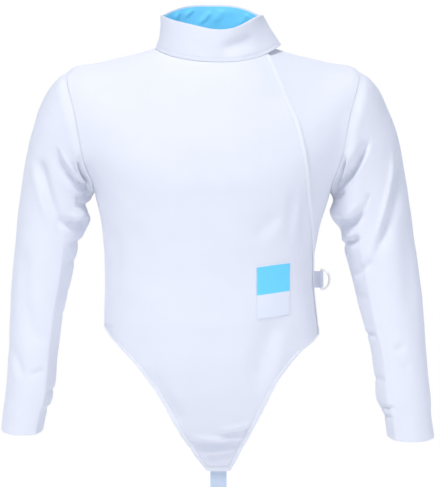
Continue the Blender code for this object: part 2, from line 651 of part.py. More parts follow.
def point_binding(panel):
    """The tape that binds the pointed hem, made from the front's own edge: down, across the tip and up."""
    first = len(panel_levels(SIDE_HEM_LEVEL)) - 1
    last = len(panel.levels) - 1
    right = [((row, 0), (row, 1)) for row in range(first, last - 1)]
    tip = [((last, 0), (last - 1, 1))]
    tip += [((last, column), (last - 1, column)) for column in range(2, panel.theta.shape[1] - 2)]
    tip += [((last, -1), (last - 1, -2))]
    left = [((row, -1), (row, -2)) for row in range(last - 2, first, -1)]
    places = np.array(right + tip + left)
    lifted = [panel.outer + out * panel.normals for out in (PATCH_GAP, PATCH_GAP + BINDING_CLOTH)]
    inner, outer = (grid[places[..., 0], places[..., 1]] for grid in lifted)
    wall("point_binding", outer, inner, "binding_tape")


def closing_band(panel):
    """The band stitched down the front's free edge, from the collar to the hem."""
    rows = slice(1, len(panel_levels(SIDE_HEM_LEVEL)))
    inner, outer = (
        (panel.outer + out * panel.normals)[rows, -2:] for out in (PATCH_GAP, PATCH_GAP + BINDING_CLOTH)
    )
    wall("closing_band", outer, inner, "binding_tape")


def patch(panel):
    """The maker's patch at the waist, left plain."""
    across, down = np.meshgrid(np.linspace(0, 1, 6), np.linspace(0, 1, 8))
    x = PATCH_X[0] + (PATCH_X[1] - PATCH_X[0]) * across
    z = PATCH_TOP_Z - PATCH_HEIGHT * down + PATCH_RISE * across
    outer = on_panel(panel, x, z, PATCH_GAP + PATCH_CLOTH)
    inner = on_panel(panel, x, z, PATCH_GAP)
    wall("patch", outer, inner, "patch")


def webbing(name, path, width_axis, material):
    """A strip of webbing along a path of its middle line, extruded to its width."""
    along = unit(np.gradient(path, axis=0))
    thick = unit(np.cross(along, width_axis)) * WEBBING / 2
    ends = np.array([-0.5, 0.5])[None, :, None] * WEBBING_WIDTH * np.asarray(width_axis)
    wall(name, (path + thick)[:, None] + ends, (path - thick)[:, None] + ends, material)


def strap_loop(panel):
    """The elastic loop at the tip: sewn behind the point, down, round a tight fold and up again."""
    tip_x = (POINT_HEM[-1].right_x + POINT_HEM[-1].left_x) / 2
    behind = LAP_GAP / 2 + WEBBING / 2
    heights = np.linspace(STRAP_TOP_Z, POINT_HEM[-1].z, 4)
    seat = on_panel(panel, np.full(4, tip_x), heights, -behind)
    bottom_z = POINT_HEM[-1].z - STRAP_DROP
    tip_y = seat[-1, 1] + STRAP_HANG
    fold_z = bottom_z + STRAP_FOLD
    front_leg = [(tip_x, tip_y, z) for z in np.linspace(POINT_HEM[-1].z - STRAP_FREE, fold_z, 4)]
    turn = np.linspace(0, HALF_TURN, 7)[1:-1]
    fold_y = tip_y + STRAP_FOLD
    round_fold = [
        (tip_x, fold_y - STRAP_FOLD * math.cos(a), fold_z - STRAP_FOLD * math.sin(a)) for a in turn
    ]
    rear = [(x, y + 2 * STRAP_FOLD, z) for x, y, z in reversed([*seat.tolist(), *front_leg])]
    path = np.array([*seat.tolist(), *front_leg, *round_fold, *rear])
    webbing("strap_loop", path, (1.0, 0.0, 0.0), "grey_elastic")


def side_of_jacket():
    """The x of the left side seam where it stands out most beside the tab."""
    heights = TAB_Z + WEBBING_WIDTH * np.linspace(-0.5, 0.5, 5)
    return float(np.max(torso_point(QUARTER_TURN, level_at(heights))[..., 0]))


def ring_tab():
    """The tab of webbing that holds the D-ring: out from the side seam, round the bar and back."""
    root = side_of_jacket() + PATCH_GAP
    bar = side_of_jacket() + TAB_REACH
    eye = RING_WIRE + WEBBING / 2 + TAB_EYE_GAP
    turn = np.linspace(-0.6 * HALF_TURN, 0.6 * HALF_TURN, 11)
    eye_path = [(bar + eye * math.cos(a), eye * math.sin(a), TAB_Z) for a in turn]
    neck = bar - 2.1 * eye
    path = [(root, -TAB_LEG, TAB_Z), (neck, -TAB_LEG, TAB_Z)]
    path += eye_path
    path += [(neck, TAB_LEG, TAB_Z), (root, TAB_LEG, TAB_Z)]
    webbing("ring_tab", np.array(path), (0.0, 0.0, 1.0), "white_webbing")


def d_ring():
    """The wire D-ring. Its straight bar lies in the tab's eye, on the axis that it swings on."""
    half = RING_HEIGHT / 2
    corner = RING_CORNER
    bow = np.linspace(-QUARTER_TURN, QUARTER_TURN, 19)
    path = [(corner + (RING_REACH - corner) * math.cos(a), half * math.sin(a)) for a in bow]
    path += [(0.3 * corner, half - 0.25 * corner)]
    path += [(0.0, z) for z in np.linspace(half - corner, corner - half, 5)]
    path += [(0.3 * corner, 0.25 * corner - half)]
    curve = bpy.data.curves.new("d_ring", "CURVE")
    curve.dimensions = "3D"
    curve.bevel_depth = RING_WIRE
    curve.bevel_resolution = 2
    spline = curve.splines.new("POLY")
    spline.points.add(len(path) - 1)
    for point, (x, z) in zip(spline.points, path):
        point.co = (x, 0.0, z, 1.0)
    spline.use_cyclic_u = True
    spline.use_smooth = True
    curve.materials.append(finish("steel_wire"))
    ring = bpy.data.objects.new("d_ring", curve)
    ring.location = (side_of_jacket() + TAB_REACH, 0.0, TAB_Z)
    bpy.context.scene.collection.objects.link(ring)


def main():
    for old in list(bpy.data.objects):
        bpy.data.objects.remove(old)
    wide_front = front()
    underlap()
    back()
    sleeves()
    collar()
    point_binding(wide_front)
    closing_band(wide_front)
    patch(wide_front)
    strap_loop(wide_front)
    ring_tab()
    d_ring()


main()
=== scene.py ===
from collections import namedtuple

import bpy
import numpy as np
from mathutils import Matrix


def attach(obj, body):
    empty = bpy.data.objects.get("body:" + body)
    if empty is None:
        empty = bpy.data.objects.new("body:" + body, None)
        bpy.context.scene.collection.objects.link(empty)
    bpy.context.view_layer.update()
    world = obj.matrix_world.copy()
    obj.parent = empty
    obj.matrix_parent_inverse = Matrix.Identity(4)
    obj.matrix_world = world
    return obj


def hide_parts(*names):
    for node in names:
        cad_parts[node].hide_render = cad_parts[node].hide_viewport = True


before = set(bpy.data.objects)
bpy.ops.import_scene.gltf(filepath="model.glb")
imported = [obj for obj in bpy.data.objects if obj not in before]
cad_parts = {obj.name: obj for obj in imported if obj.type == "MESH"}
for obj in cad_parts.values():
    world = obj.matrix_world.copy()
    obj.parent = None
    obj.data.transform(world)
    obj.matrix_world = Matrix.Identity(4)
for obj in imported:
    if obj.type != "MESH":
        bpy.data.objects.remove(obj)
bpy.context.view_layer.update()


# The form of the body and of the sleeves, which every panel is cut to follow. It is the shape of
# the jacket filled out as it is worn: rings from the neck seam down to the tip of the point, and
# from each armhole down to the cuff, between which the cloth runs smoothly.
CLOTH = 0.0020  # two layers of tightly woven cloth
SEAM_GAP = 0.00034
LAP_GAP = 0.0014  # between the front and the underlap where one only lies on the other
OVERLAP = 0.045
HALF_TURN = np.pi
QUARTER_TURN = np.pi / 2

# half is half the width about centre, front and back are depths, and the three heights are at the
# side, the front's middle and the back's. square 2 is an ellipse, and more is fuller at the corners.
TorsoRing = namedtuple("TorsoRing", "half centre front back side_z front_z back_z square")
TORSO_RINGS = [TorsoRing(*row) for row in (
    (0.091, 0.003, 0.072, 0.058, 0.010, -0.0165, 0.026, 2.00),  # neck seam
    (0.129, 0.002, 0.092, 0.082, -0.001, -0.058, -0.016, 1.96),
    (0.171, 0.001, 0.107, 0.099, -0.011, -0.104, -0.068, 1.92),
    (0.214, 0.000, 0.117, 0.110, -0.024, -0.146, -0.122, 1.94),  # shoulder points
    (0.212, -0.001, 0.121, 0.115, -0.072, -0.174, -0.160, 2.16),
    (0.199, -0.001, 0.122, 0.115, -0.136, -0.198, -0.190, 2.30),
    (0.179, -0.001, 0.119, 0.110, -0.208, -0.223, -0.220, 2.36),  # armpits
    (0.164, -0.0035, 0.114, 0.102, -0.268, -0.268, -0.268, 2.36),
    (0.157, -0.007, 0.107, 0.094, -0.336, -0.336, -0.336, 2.34),  # waist
    (0.160, -0.005, 0.107, 0.097, -0.408, -0.408, -0.408, 2.32),  # hem at the side
    (0.164, -0.001, 0.106, 0.101, -0.455, -0.455, -0.455, 2.28),
    (0.163, 0.001, 0.099, 0.101, -0.502, -0.502, -0.502, 2.24),
    (0.153, 0.003, 0.085, 0.095, -0.554, -0.554, -0.554, 2.20),
    (0.141, 0.005, 0.066, 0.090, -0.598, -0.598, -0.598, 2.20),
    (0.132, 0.006, 0.049, 0.090, -0.626, -0.626, -0.626, 2.20),  # tip of the point
)]
SHOULDER_DROP = 1.4
SHOULDER_LEVEL = 3.0
ARMPIT_LEVEL = 6.0
SIDE_HEM_LEVEL = 9.0
UNDERLAP_HEM_LEVEL = 9.28
CLOSING_HEM_LEVEL = 9.30
TIP_LEVEL = 14.0
ARMHOLE_FRONT = np.radians(21)
ARMHOLE_BACK = np.radians(26)


def smoothstep(value):
    """0 below 0, 1 above 1, and a soft S between."""
    t = np.clip(value, 0.0, 1.0)
    return t * t * (3 - 2 * t)


def unit(vectors):
    """Vectors of length 1."""
    return vectors / np.maximum(np.linalg.norm(vectors, axis=-1, keepdims=True), 1e-12)


def hermite(low, high, out, into, t):
    """A cubic from low to high, which leaves with one slope and comes in with another."""
    return (
        low * (1 + 2 * t) * (1 - t) ** 2
        + out * t * (1 - t) ** 2
        + high * t * t * (3 - 2 * t)
        + into * t * t * (t - 1)
    )


def through_rows(rows, level):
    """A smooth curve through rows, whose first axis is the level: a cubic with each row's own slope."""
    rows = np.asarray(rows, float)
    level = np.asarray(level, float)
    slopes = np.gradient(rows, axis=0)
    below = np.clip(np.floor(level).astype(int), 0, len(rows) - 2)
    t = (level - below)[..., None]
    if rows.ndim == 2:
        parts = rows[below], rows[below + 1], slopes[below], slopes[below + 1]
    else:
        pick = np.broadcast_to(below[..., None], rows.shape[1:])[None]
        places = (rows, 0), (rows, 1), (slopes, 0), (slopes, 1)
        parts = [np.take_along_axis(table, pick + step, 0)[0] for table, step in places]
    return hermite(*parts, t)


def normals_of(surface, across, down):
    """Outward unit normals of surface(across, down), from its two slopes."""
    step = 1e-3
    along = surface(across + step, down) - surface(across - step, down)
    fall = surface(across, down + step) - surface(across, down - step)
    return unit(np.cross(fall, along))


def torso_point(theta, level):
    """The body: x = centre + half sin^(2/n), y = -front or back cos^(2/n), z from the side to the middle."""
    theta, level = np.broadcast_arrays(np.asarray(theta, float), np.asarray(level, float))
    half, centre, front, back, side_z, front_z, back_z, square = np.moveaxis(
        through_rows(TORSO_RINGS, level), -1, 0
    )
    sine, cosine = np.sin(theta), np.cos(theta)
    in_front = cosine > 0
    depth = np.where(in_front, -front, back) * np.abs(cosine) ** (2 / square)
    middle_z = np.where(in_front, front_z, back_z)
    return np.stack(
        [
            centre + half * np.sign(sine) * np.abs(sine) ** (2 / square),
            depth,
            side_z + (middle_z - side_z) * np.abs(cosine) ** SHOULDER_DROP,
        ],
        axis=-1,
    )


def torso_normals(theta, level):
    """Outward normals of the body."""
    return normals_of(torso_point, theta, level)


def armhole_share(level):
    """0 at the shoulder point and the armpit, and 1 where the armhole is widest."""
    t = np.clip((level - SHOULDER_LEVEL) / (ARMPIT_LEVEL - SHOULDER_LEVEL), 0, 1)
    return 2 * np.sqrt(t * (1 - t))


SleeveRing = namedtuple("SleeveRing", "outer_x outer_z inner_x inner_z mid_y half_depth")
CUFF_DIP = 0.006
LEFT_SLEEVE = [SleeveRing(*row) for row in (
    (0.233, -0.035, 0.1815, -0.2150, 0.000, 0.0580),
    (0.250, -0.053, 0.1830, -0.2190, 0.002, 0.0600),
    (0.265, -0.082, 0.1830, -0.2235, 0.004, 0.0610),
    (0.278, -0.114, 0.1805, -0.2295, 0.005, 0.0605),
    (0.287, -0.150, 0.1780, -0.2385, 0.006, 0.0595),
    (0.293, -0.187, 0.1830, -0.2510, 0.007, 0.0580),
    (0.299, -0.226, 0.1945, -0.2660, 0.008, 0.0560),
    (0.305, -0.268, 0.1975, -0.2870, 0.008, 0.0545),
    (0.313, -0.325, 0.2090, -0.3270, 0.007, 0.0525),
    (0.320, -0.388, 0.2240, -0.3890, 0.004, 0.0505),
    (0.323, -0.442, 0.2390, -0.4420, -0.001, 0.0475),
    (0.326, -0.487, 0.2460, -0.4890, -0.006, 0.0450),
    (0.3295, -0.518, 0.2480, -0.5200, -0.010, 0.0430),
    (0.3300, -0.545, 0.2585, -0.5450, -0.013, 0.0400),  # top of the cuff
    (0.3340, -0.577, 0.2630, -0.5760, -0.016, 0.0390),  # cuff edge
)]
RIGHT_SLEEVE = [SleeveRing(*row) for row in (
    (-0.232, -0.036, -0.1835, -0.2150, 0.000, 0.0580),
    (-0.248, -0.053, -0.1855, -0.2190, 0.002, 0.0600),
    (-0.263, -0.081, -0.1870, -0.2235, 0.004, 0.0610),
    (-0.274, -0.113, -0.1890, -0.2295, 0.005, 0.0605),
    (-0.283, -0.150, -0.1905, -0.2380, 0.006, 0.0590),
    (-0.290, -0.190, -0.1870, -0.2500, 0.007, 0.0575),
    (-0.296, -0.234, -0.1955, -0.2690, 0.008, 0.0550),
    (-0.301, -0.284, -0.2060, -0.2950, 0.008, 0.0530),
    (-0.306, -0.340, -0.2165, -0.3420, 0.007, 0.0510),
    (-0.309, -0.395, -0.2285, -0.3960, 0.004, 0.0490),
    (-0.310, -0.448, -0.2355, -0.4490, -0.001, 0.0460),
    (-0.313, -0.492, -0.2390, -0.4930, -0.006, 0.0435),
    (-0.315, -0.520, -0.2440, -0.5210, -0.010, 0.0415),
    (-0.318, -0.543, -0.2520, -0.5430, -0.013, 0.0385),  # top of the cuff
    (-0.320, -0.566, -0.2570, -0.5670, -0.016, 0.0375),  # cuff edge
)]
CUFF_LEVEL = 15.0


def armhole_place(side, phi):
    """The body's theta and level round an armhole, where phi is 0 at its top and a quarter turn in front."""
    sine = np.sin(phi)
    cut = np.where(sine > 0, ARMHOLE_FRONT, ARMHOLE_BACK) * sine
    level = SHOULDER_LEVEL + (ARMPIT_LEVEL - SHOULDER_LEVEL) * (1 - np.cos(phi)) / 2
    return side * (QUARTER_TURN - cut), level


def sleeve_point(side, phi, level):
    """A sleeve: level 0 is the armhole's own curve, and each ring below is an ellipse from the table."""
    phi, level = np.broadcast_arrays(np.asarray(phi, float), np.asarray(level, float))
    rings = [torso_point(*armhole_place(side, phi))]
    for ring in LEFT_SLEEVE if side > 0 else RIGHT_SLEEVE:
        outer = np.array([ring.outer_x, ring.mid_y, ring.outer_z])
        inner = np.array([ring.inner_x, ring.mid_y, ring.inner_z])
        depth = np.array([0, -ring.half_depth, -CUFF_DIP * (len(rings) >= CUFF_LEVEL - 1)])
        rings.append(
            (outer + inner) / 2
            + (outer - inner) / 2 * np.cos(phi)[..., None]
            + depth * np.sin(phi)[..., None]
        )
    return through_rows(np.stack(rings), level)


def sleeve_normals(side, phi, level):
    """Outward normals of a sleeve."""
    found = normals_of(lambda a, b: sleeve_point(side, a, b), phi, np.maximum(level, 1e-3))
    return found * -side


ARMHOLE_REACH = (0.013, 0.024)  # how far the filled-out armhole reaches, at the top and in front
REACH_GROWS = np.radians(36)  # how far from the top the reach grows
ARMHOLE_MOST = 0.0195
ARMHOLE_BLEND = 0.006
ARMHOLE_END = np.radians(152)  # how far from the top the filling runs, and where it starts to end
ARMHOLE_FADE = np.radians(45)


def armhole_swell(points, side):
    """How far an armhole's valley is filled along its mean normal, dying away as exp(-distance)."""
    phi = np.linspace(-HALF_TURN, HALF_TURN, 181)[:-1]
    ring = torso_point(*armhole_place(side, phi))
    on_body = torso_normals(*armhole_place(side, phi))
    on_sleeve = sleeve_normals(side, phi, 0.02)
    mean = unit(on_body + on_sleeve)
    tangent = unit(np.roll(ring, -1, axis=0) - np.roll(ring, 1, axis=0))
    inward = np.cross(on_body, tangent)
    inward *= -np.sign(side * inward[:, :1])
    slope = np.clip(np.sum(mean * inward, -1), 0, 0.8)
    reach = np.interp(smoothstep(np.abs(phi) / REACH_GROWS), (0, 1), ARMHOLE_REACH)
    height = np.minimum(reach * slope / np.sqrt(1 - slope**2), ARMHOLE_MOST)
    height *= smoothstep((ARMHOLE_END - np.abs(phi)) / ARMHOLE_FADE)
    spots = points.reshape(-1, 3)
    squares = np.sum(spots**2, -1)[:, None] + np.sum(ring**2, -1) - 2 * spots @ ring.T
    nearer = np.exp((np.min(squares, axis=1, keepdims=True) - squares) / (2 * ARMHOLE_BLEND**2))
    nearer /= np.sum(nearer, axis=1, keepdims=True)
    along = spots @ tangent.T - np.sum(ring * tangent, -1)
    distance = np.sum(nearer * np.sqrt(np.maximum(squares - along**2, 0)), axis=1, keepdims=True)
    swell = (nearer @ (height[:, None] * mean)) * np.exp(-distance / (nearer @ reach[:, None]))
    return swell.reshape(points.shape), distance.reshape(points.shape[:-1])


# The wide front, cut in one piece from the right side seam across to the free edge on the wearer's
# left, and down to the point. Two layers of white cloth. It laps over the underlap, and its free
# edge is turned under and stitched twice.
CLOSING_EDGE_DEG = (57, 47, 41, 37, 38, 42, 50.5, 65, 80, 84, 85, 85, 85, 85, 85)
RIDE_UP = np.radians(30)
RIDE_UP_DONE = np.radians(2)
NECK_STEP = 0.085  # of a level: how far the lap steps down the front from the collar's seam
NECK_STEP_DEPTH = 0.6
HemRow = namedtuple("HemRow", "z right_x left_x")
POINT_HEM = [HemRow(*row) for row in (
    (-0.408, -0.1648, 0.1547),
    (-0.423, -0.1541, 0.1550),
    (-0.432, -0.1455, 0.1470),
    (-0.444, -0.1335, 0.1320),
    (-0.464, -0.1140, 0.1137),
    (-0.487, -0.0970, 0.0960),
    (-0.515, -0.0785, 0.0823),
    (-0.545, -0.0620, 0.0674),
    (-0.573, -0.0457, 0.0535),
    (-0.601, -0.0283, 0.0393),
    (-0.626, -0.0095, 0.0260),
)]

# Distances of the columns and rows beside an edge: close at its rounding, and at the stitches
EDGE_STEPS = np.array(
    [0.04, 0.20, 0.45, 0.80, 1.20, 1.8, 2.6, 3.6, 4.6, 5.6, 6.4, 7.4, 9.0, 11.0]
) * 0.001
EDGE_ROUND = 0.0012
SEAM_DIP = 0.00022  # how far the cloth turns down into a seam
SEAM_FADE = 0.0045  # how near to an armhole the folds run
BAND_COLUMNS = 12  # edge columns that the stitched bands cover
NECK_SPEED = 0.045  # metres of cloth to one level, at the neck seam and at a hem
HEM_SPEED = 0.065
POINT_SPEED = 0.028
FRONT_COLUMNS = 112
FOLDS_BEGIN = 0.25  # of a level below the neck seam
EDGE_SHARE = 0.42  # of the thickness, by which a free edge is rounded on each side
RIDGE_OUT = 1.9  # where the ridge beside a fold stands, and its width, in the fold's own spreads
RIDGE_WIDTH = 0.9

# Folds pressed into the cloth, seen from the front (-1), the back (1) or both (0): a trough runs
# through its start, middle and end. left and right are its spreads to each hand of one who follows
# it, and ridge is the height of the cloth beside it, on the left hand if it is positive.
Fold = namedtuple("Fold", "face start_x start_z mid_x mid_z end_x end_z depth left right ridge")
BODY_FOLDS = [Fold(*row) for row in (
    (-1, 0.1009, -0.2362, 0.0804, -0.2595, 0.0585, -0.2829, 0.0022, 0.0090, 0.0120, 0.0005),
    (-1, 0.1213, -0.2069, 0.1155, -0.2434, 0.1082, -0.2873, 0.0018, 0.0060, 0.0090, 0.0005),
    (-1, 0.1345, -0.1996, 0.1359, -0.2434, 0.1316, -0.2946, 0.0014, 0.0060, 0.0060, 0.0),
    (-1, 0.0960, -0.3900, 0.0760, -0.4480, 0.0640, -0.5120, 0.0050, 0.0130, 0.0180, 0.0012),
    (-1, -0.0440, -0.5790, 0.0060, -0.5870, 0.0560, -0.5790, 0.0098, 0.0052, 0.0090, 0.0034),
    (-1, -0.0180, -0.6040, 0.0100, -0.6025, 0.0400, -0.5980, 0.0052, 0.0040, 0.0060, 0.0020),
    (-1, 0.0040, -0.5700, 0.0340, -0.5680, 0.0640, -0.5580, 0.0056, 0.0046, 0.0080, 0.0022),
    (-1, -0.0960, -0.4634, -0.0700, -0.5180, -0.0350, -0.5600, 0.0036, 0.0120, 0.0120, 0.0008),
    (-1, -0.1500, -0.2600, -0.1430, -0.3000, -0.1440, -0.3500, 0.0014, 0.0090, 0.0090, 0.0),
    (-1, -0.1180, -0.2450, -0.1060, -0.2900, -0.1020, -0.3300, 0.0011, 0.0110, 0.0110, 0.0),
    (1, 0.1420, -0.1900, 0.1050, -0.2500, 0.0820, -0.3150, 0.0038, 0.0130, 0.0110, 0.0012),
    (1, 0.1500, -0.2500, 0.1280, -0.3000, 0.1180, -0.3600, 0.0026, 0.0090, 0.0090, 0.0008),
    (1, -0.1380, -0.1850, -0.1080, -0.2450, -0.0930, -0.3200, 0.0036, 0.0120, 0.0130, -0.0012),
    (1, -0.1470, -0.2550, -0.1300, -0.2950, -0.1150, -0.3550, 0.0024, 0.0100, 0.0090, 0.0008),
    (1, 0.0350, -0.2800, 0.0280, -0.3300, 0.0330, -0.3900, 0.0020, 0.0120, 0.0120, 0.0),
    (1, -0.0420, -0.2950, -0.0340, -0.3500, -0.0400, -0.3980, 0.0023, 0.0110, 0.0110, 0.0),
    (1, -0.0600, -0.0450, -0.0100, -0.0580, 0.0480, -0.0430, 0.0018, 0.0100, 0.0100, 0.0),
)]


def closing_edge(level):
    """The angle of the front's free edge at a level."""
    degrees = through_rows(np.array(CLOSING_EDGE_DEG, float)[:, None], level)[..., 0]
    return np.radians(degrees)


def underlap_edge(level):
    """The angle of the underlap's hidden edge at a level."""
    half = through_rows(TORSO_RINGS, level)[..., 0]
    return closing_edge(level) - OVERLAP / half


def ride_up(theta, level):
    """0 where the front lies on the body's form, and 1 where it has risen over the underlap."""
    return smoothstep((theta - underlap_edge(level) + RIDE_UP) / (RIDE_UP - RIDE_UP_DONE))


def front_point(theta, level):
    """The front's outer face: the body's form, raised by one layer over the underlap."""
    theta, level = np.broadcast_arrays(np.asarray(theta, float), np.asarray(level, float))
    step = np.clip(1 - level / NECK_STEP_DEPTH, 0, 1)
    level = level + NECK_STEP * ride_up(theta, 0.0 * level) * step
    rise = (CLOTH + LAP_GAP) * ride_up(theta, level)
    return torso_point(theta, level) + rise[..., None] * torso_normals(theta, level)


def level_at(z):
    """The body level of a height below the armpits, where the rings are level."""
    levels = np.linspace(ARMPIT_LEVEL + 1, TIP_LEVEL, 400)
    heights = through_rows(TORSO_RINGS, levels)[:, 4]
    return np.interp(-np.asarray(z), -heights, levels)


def theta_at(x, level):
    """The angle on the front at which a ring has a given x."""
    ring = through_rows(TORSO_RINGS, level)
    share = np.clip((x - ring[..., 1]) / ring[..., 0], -1, 1)
    return np.sign(share) * np.arcsin(np.abs(share) ** (ring[..., 7] / 2))


def point_hem_edge(level, column):
    """The angle of the pointed hem's edge at a level, from its outline seen from the front."""
    heights = through_rows(TORSO_RINGS, level)[..., 4]
    rows = np.array(POINT_HEM)
    x = np.interp(-heights, -rows[:, 0], rows[:, column])
    return theta_at(x, level)


def folded(points, facing_y, folds):
    """How far folds press the cloth in: a bell on each side of a parabola, less a lower bell beside it."""
    pressed = np.zeros(points.shape[:-1])
    flat = points[..., [0, 2]]
    for fold in folds:
        t = np.linspace(0, 1, 15)[:, None]
        start, middle, end = np.array(fold[1:7]).reshape(3, 2)
        line = start * (1 - t) * (1 - 2 * t) + middle * 4 * t * (1 - t) + end * t * (2 * t - 1)
        nearest = np.full(flat.shape[:-1], 1.0)
        along = np.zeros(flat.shape[:-1])
        side = np.zeros(flat.shape[:-1])
        for number, (a, b) in enumerate(zip(line[:-1], line[1:])):
            run = b - a
            offset = flat - a
            share = np.clip(offset @ run / (run @ run), 0, 1)
            away = np.linalg.norm(offset - share[..., None] * run, axis=-1)
            closer = away < nearest
            turn = offset[..., 1] * run[0] - offset[..., 0] * run[1]
            nearest = np.where(closer, away, nearest)
            along = np.where(closer, (number + share) / (len(line) - 1), along)
            side = np.where(closer, np.sign(turn), side)
        spread = np.where(side > 0, fold.left, fold.right)
        across = nearest / spread
        beside = np.exp(-(((across - RIDGE_OUT) / RIDGE_WIDTH) ** 2)) * (side * np.sign(fold.ridge) > 0)
        fade = smoothstep(along / 0.32 + 0.06) * smoothstep((1 - along) / 0.36 + 0.10)
        facing = smoothstep(facing_y * fold.face * 2.5 + (fold.face == 0))
        pressed += (fold.depth * np.exp(-(across**2)) - abs(fold.ridge) * beside) * fade * facing
    return pressed


def gentle_waves(points):
    """Slow uneven waves of worn cloth, under a millimetre: sines of place that don't repeat together."""
    x, y, z = np.moveaxis(points, -1, 0)
    return 0.00036 * (
        np.sin(61 * x + 23 * z + 1.3) * np.sin(37 * z - 19 * y + 0.4)
        + 0.7 * np.sin(118 * z + 41 * x - 53 * y) * np.sin(71 * x + 29 * y + 2.1)
    )


def with_edges(levels, top_speed, bottom_speed):
    """Levels with close rows added at both ends. The speeds are metres of cloth to one level there."""
    head = levels[0] + (EDGE_STEPS - EDGE_STEPS[0]) / top_speed
    tail = levels[-1] - (EDGE_STEPS[::-1] - EDGE_STEPS[0]) / bottom_speed
    inside = levels[(levels > head[-1]) & (levels < tail[0])]
    return np.concatenate([head, inside, tail])


def laid_out(surface, first, last, levels, middle, inner_columns):
    """Angles and cloth lengths of a grid whose rows run from first to last along surface(angle, level)."""
    samples = np.linspace(0, 1, 241)
    across = first[:, None] + (last - first)[:, None] * samples
    points = surface(across, np.broadcast_to(levels[:, None], across.shape))
    lengths = np.linalg.norm(np.diff(points, axis=1), axis=-1)
    run = np.concatenate([np.zeros((len(levels), 1)), np.cumsum(lengths, axis=1)], axis=1)
    width = run[:, -1:]
    edge = EDGE_STEPS * np.minimum(1, width / (2.4 * EDGE_STEPS[-1]))
    between = np.linspace(0, 1, inner_columns + 2)[1:-1]
    inside = edge[:, -1:] + (width - 2 * edge[:, -1:]) * between
    wanted = np.concatenate([edge, inside, (width - edge)[:, ::-1]], axis=1)
    angles = np.stack([np.interp(w, r, a) for w, r, a in zip(wanted, run, across)])
    centre = np.array([np.interp(middle, a, r) for r, a in zip(run, across)])
    return angles, wanted - centre[:, None], wanted, width - wanted


def lengths_down(points):
    """Cloth lengths down each column from the first row."""
    lengths = np.linalg.norm(np.diff(points, axis=0), axis=-1)
    return np.concatenate([np.zeros((1, points.shape[1])), np.cumsum(lengths, axis=0)])


# A laid-out panel: its outer face, the normals there, how far each point is from each edge, and the
# level and the place on the cloth of each
Panel = namedtuple("Panel", "outer normals from_first from_last from_top from_bottom level uv")


def panel_on(surface, outward, edges, levels, middle, columns, dressed, lower=None, inset=()):
    """A panel of surface(angle, level) between two edges, whose outer face dressed works out."""
    angle, u, from_first, from_last = laid_out(surface, *edges, levels, middle, columns)
    level = np.repeat(levels[:, None], angle.shape[1], axis=1)
    if lower is not None:
        level = level + lower(from_first / (from_first + from_last), level)
    base = surface(angle, level, *inset)
    down = lengths_down(base)
    uv = np.stack([u, -np.broadcast_to(down[:, [u.shape[1] // 2]], u.shape)], -1)
    normals = outward(angle, level)
    panel = Panel(base, normals, from_first, from_last, down, down[-1] - down, level, uv)
    return panel._replace(outer=dressed(panel))


def linked(name, data):
    """A new object in the scene, with its mesh, light or camera."""
    made = bpy.data.objects.new(name, data)
    bpy.context.scene.collection.objects.link(made)
    return made


def meshed(name, points, faces):
    """A new object with a smooth mesh of these points and faces."""
    mesh = bpy.data.meshes.new(name)
    mesh.from_pydata(points.reshape(-1, 3), [], faces.tolist())
    mesh.shade_smooth()
    return linked(name, mesh)


def shell(name, outer, inner, uv):
    """One closed wall: the outer grid, the inner grid turned over, and a rim that joins their edges."""
    rows, columns = outer.shape[:2]
    number = np.arange(rows * columns).reshape(rows, columns)
    quads = np.stack([number[:-1, :-1], number[:-1, 1:], number[1:, 1:], number[1:, :-1]], -1)
    quads = quads.reshape(-1, 4)
    ring = np.concatenate([number[0], number[1:, -1], number[-1, -2::-1], number[-2:0:-1, 0]])
    following = np.roll(ring, -1)
    count = rows * columns
    rim = np.stack([following, ring, ring + count, following + count], -1)
    faces = np.concatenate([quads, quads[:, ::-1] + count, rim])
    points = np.concatenate([outer.reshape(-1, 3), inner.reshape(-1, 3)])
    a, b, c, d = (points[faces[:, k]] for k in range(4))
    volume = np.sum(a * np.cross(b, c)) + np.sum(a * np.cross(c, d))
    if volume < 0:
        faces = faces[:, ::-1]
    piece = meshed(name, points, faces)
    both = np.concatenate([uv.reshape(-1, 2), uv.reshape(-1, 2)])
    layer = piece.data.uv_layers.new(name="cloth")
    layer.data.foreach_set("uv", both[faces.reshape(-1)].ravel())
    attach(piece, "jacket")
    return piece


def wall_of(name, panel, thickness=CLOTH, seams=""):
    """A panel's closed wall. Free edges are turned in round a quarter of an ellipse, and seams dip."""
    drop = 0
    for edge in ("first", "last", "top", "bottom"):
        t = np.clip(1 - getattr(panel, f"from_{edge}") / EDGE_ROUND, 0, 1)
        round_off = EDGE_SHARE * thickness * (1 - np.sqrt(1 - t * t))
        drop = np.maximum(drop, SEAM_DIP * t * t if edge in seams else round_off)
    drop = drop[..., None]
    outer = panel.outer - drop * panel.normals
    inner = panel.outer - (thickness - drop) * panel.normals
    return shell(name, outer, inner, panel.uv)


def read_off(wanted, run, vectors):
    """Vectors read off at wanted lengths along a run."""
    return np.stack([np.interp(wanted, run, vectors[:, k]) for k in range(3)], -1)


def stitch_run(points, normals, pitch=0.0032):
    """Places, directions and normals of stitches spaced evenly along a line of points."""
    run = lengths_down(points[:, None])[:, 0]
    count = max(int(run[-1] / pitch), 1)
    middle = (np.arange(count) + 0.5) * run[-1] / count
    place = read_off(middle, run, points)
    ahead = read_off(middle + 1e-4, run, points)
    return place, unit(ahead - place), unit(read_off(middle, run, normals))


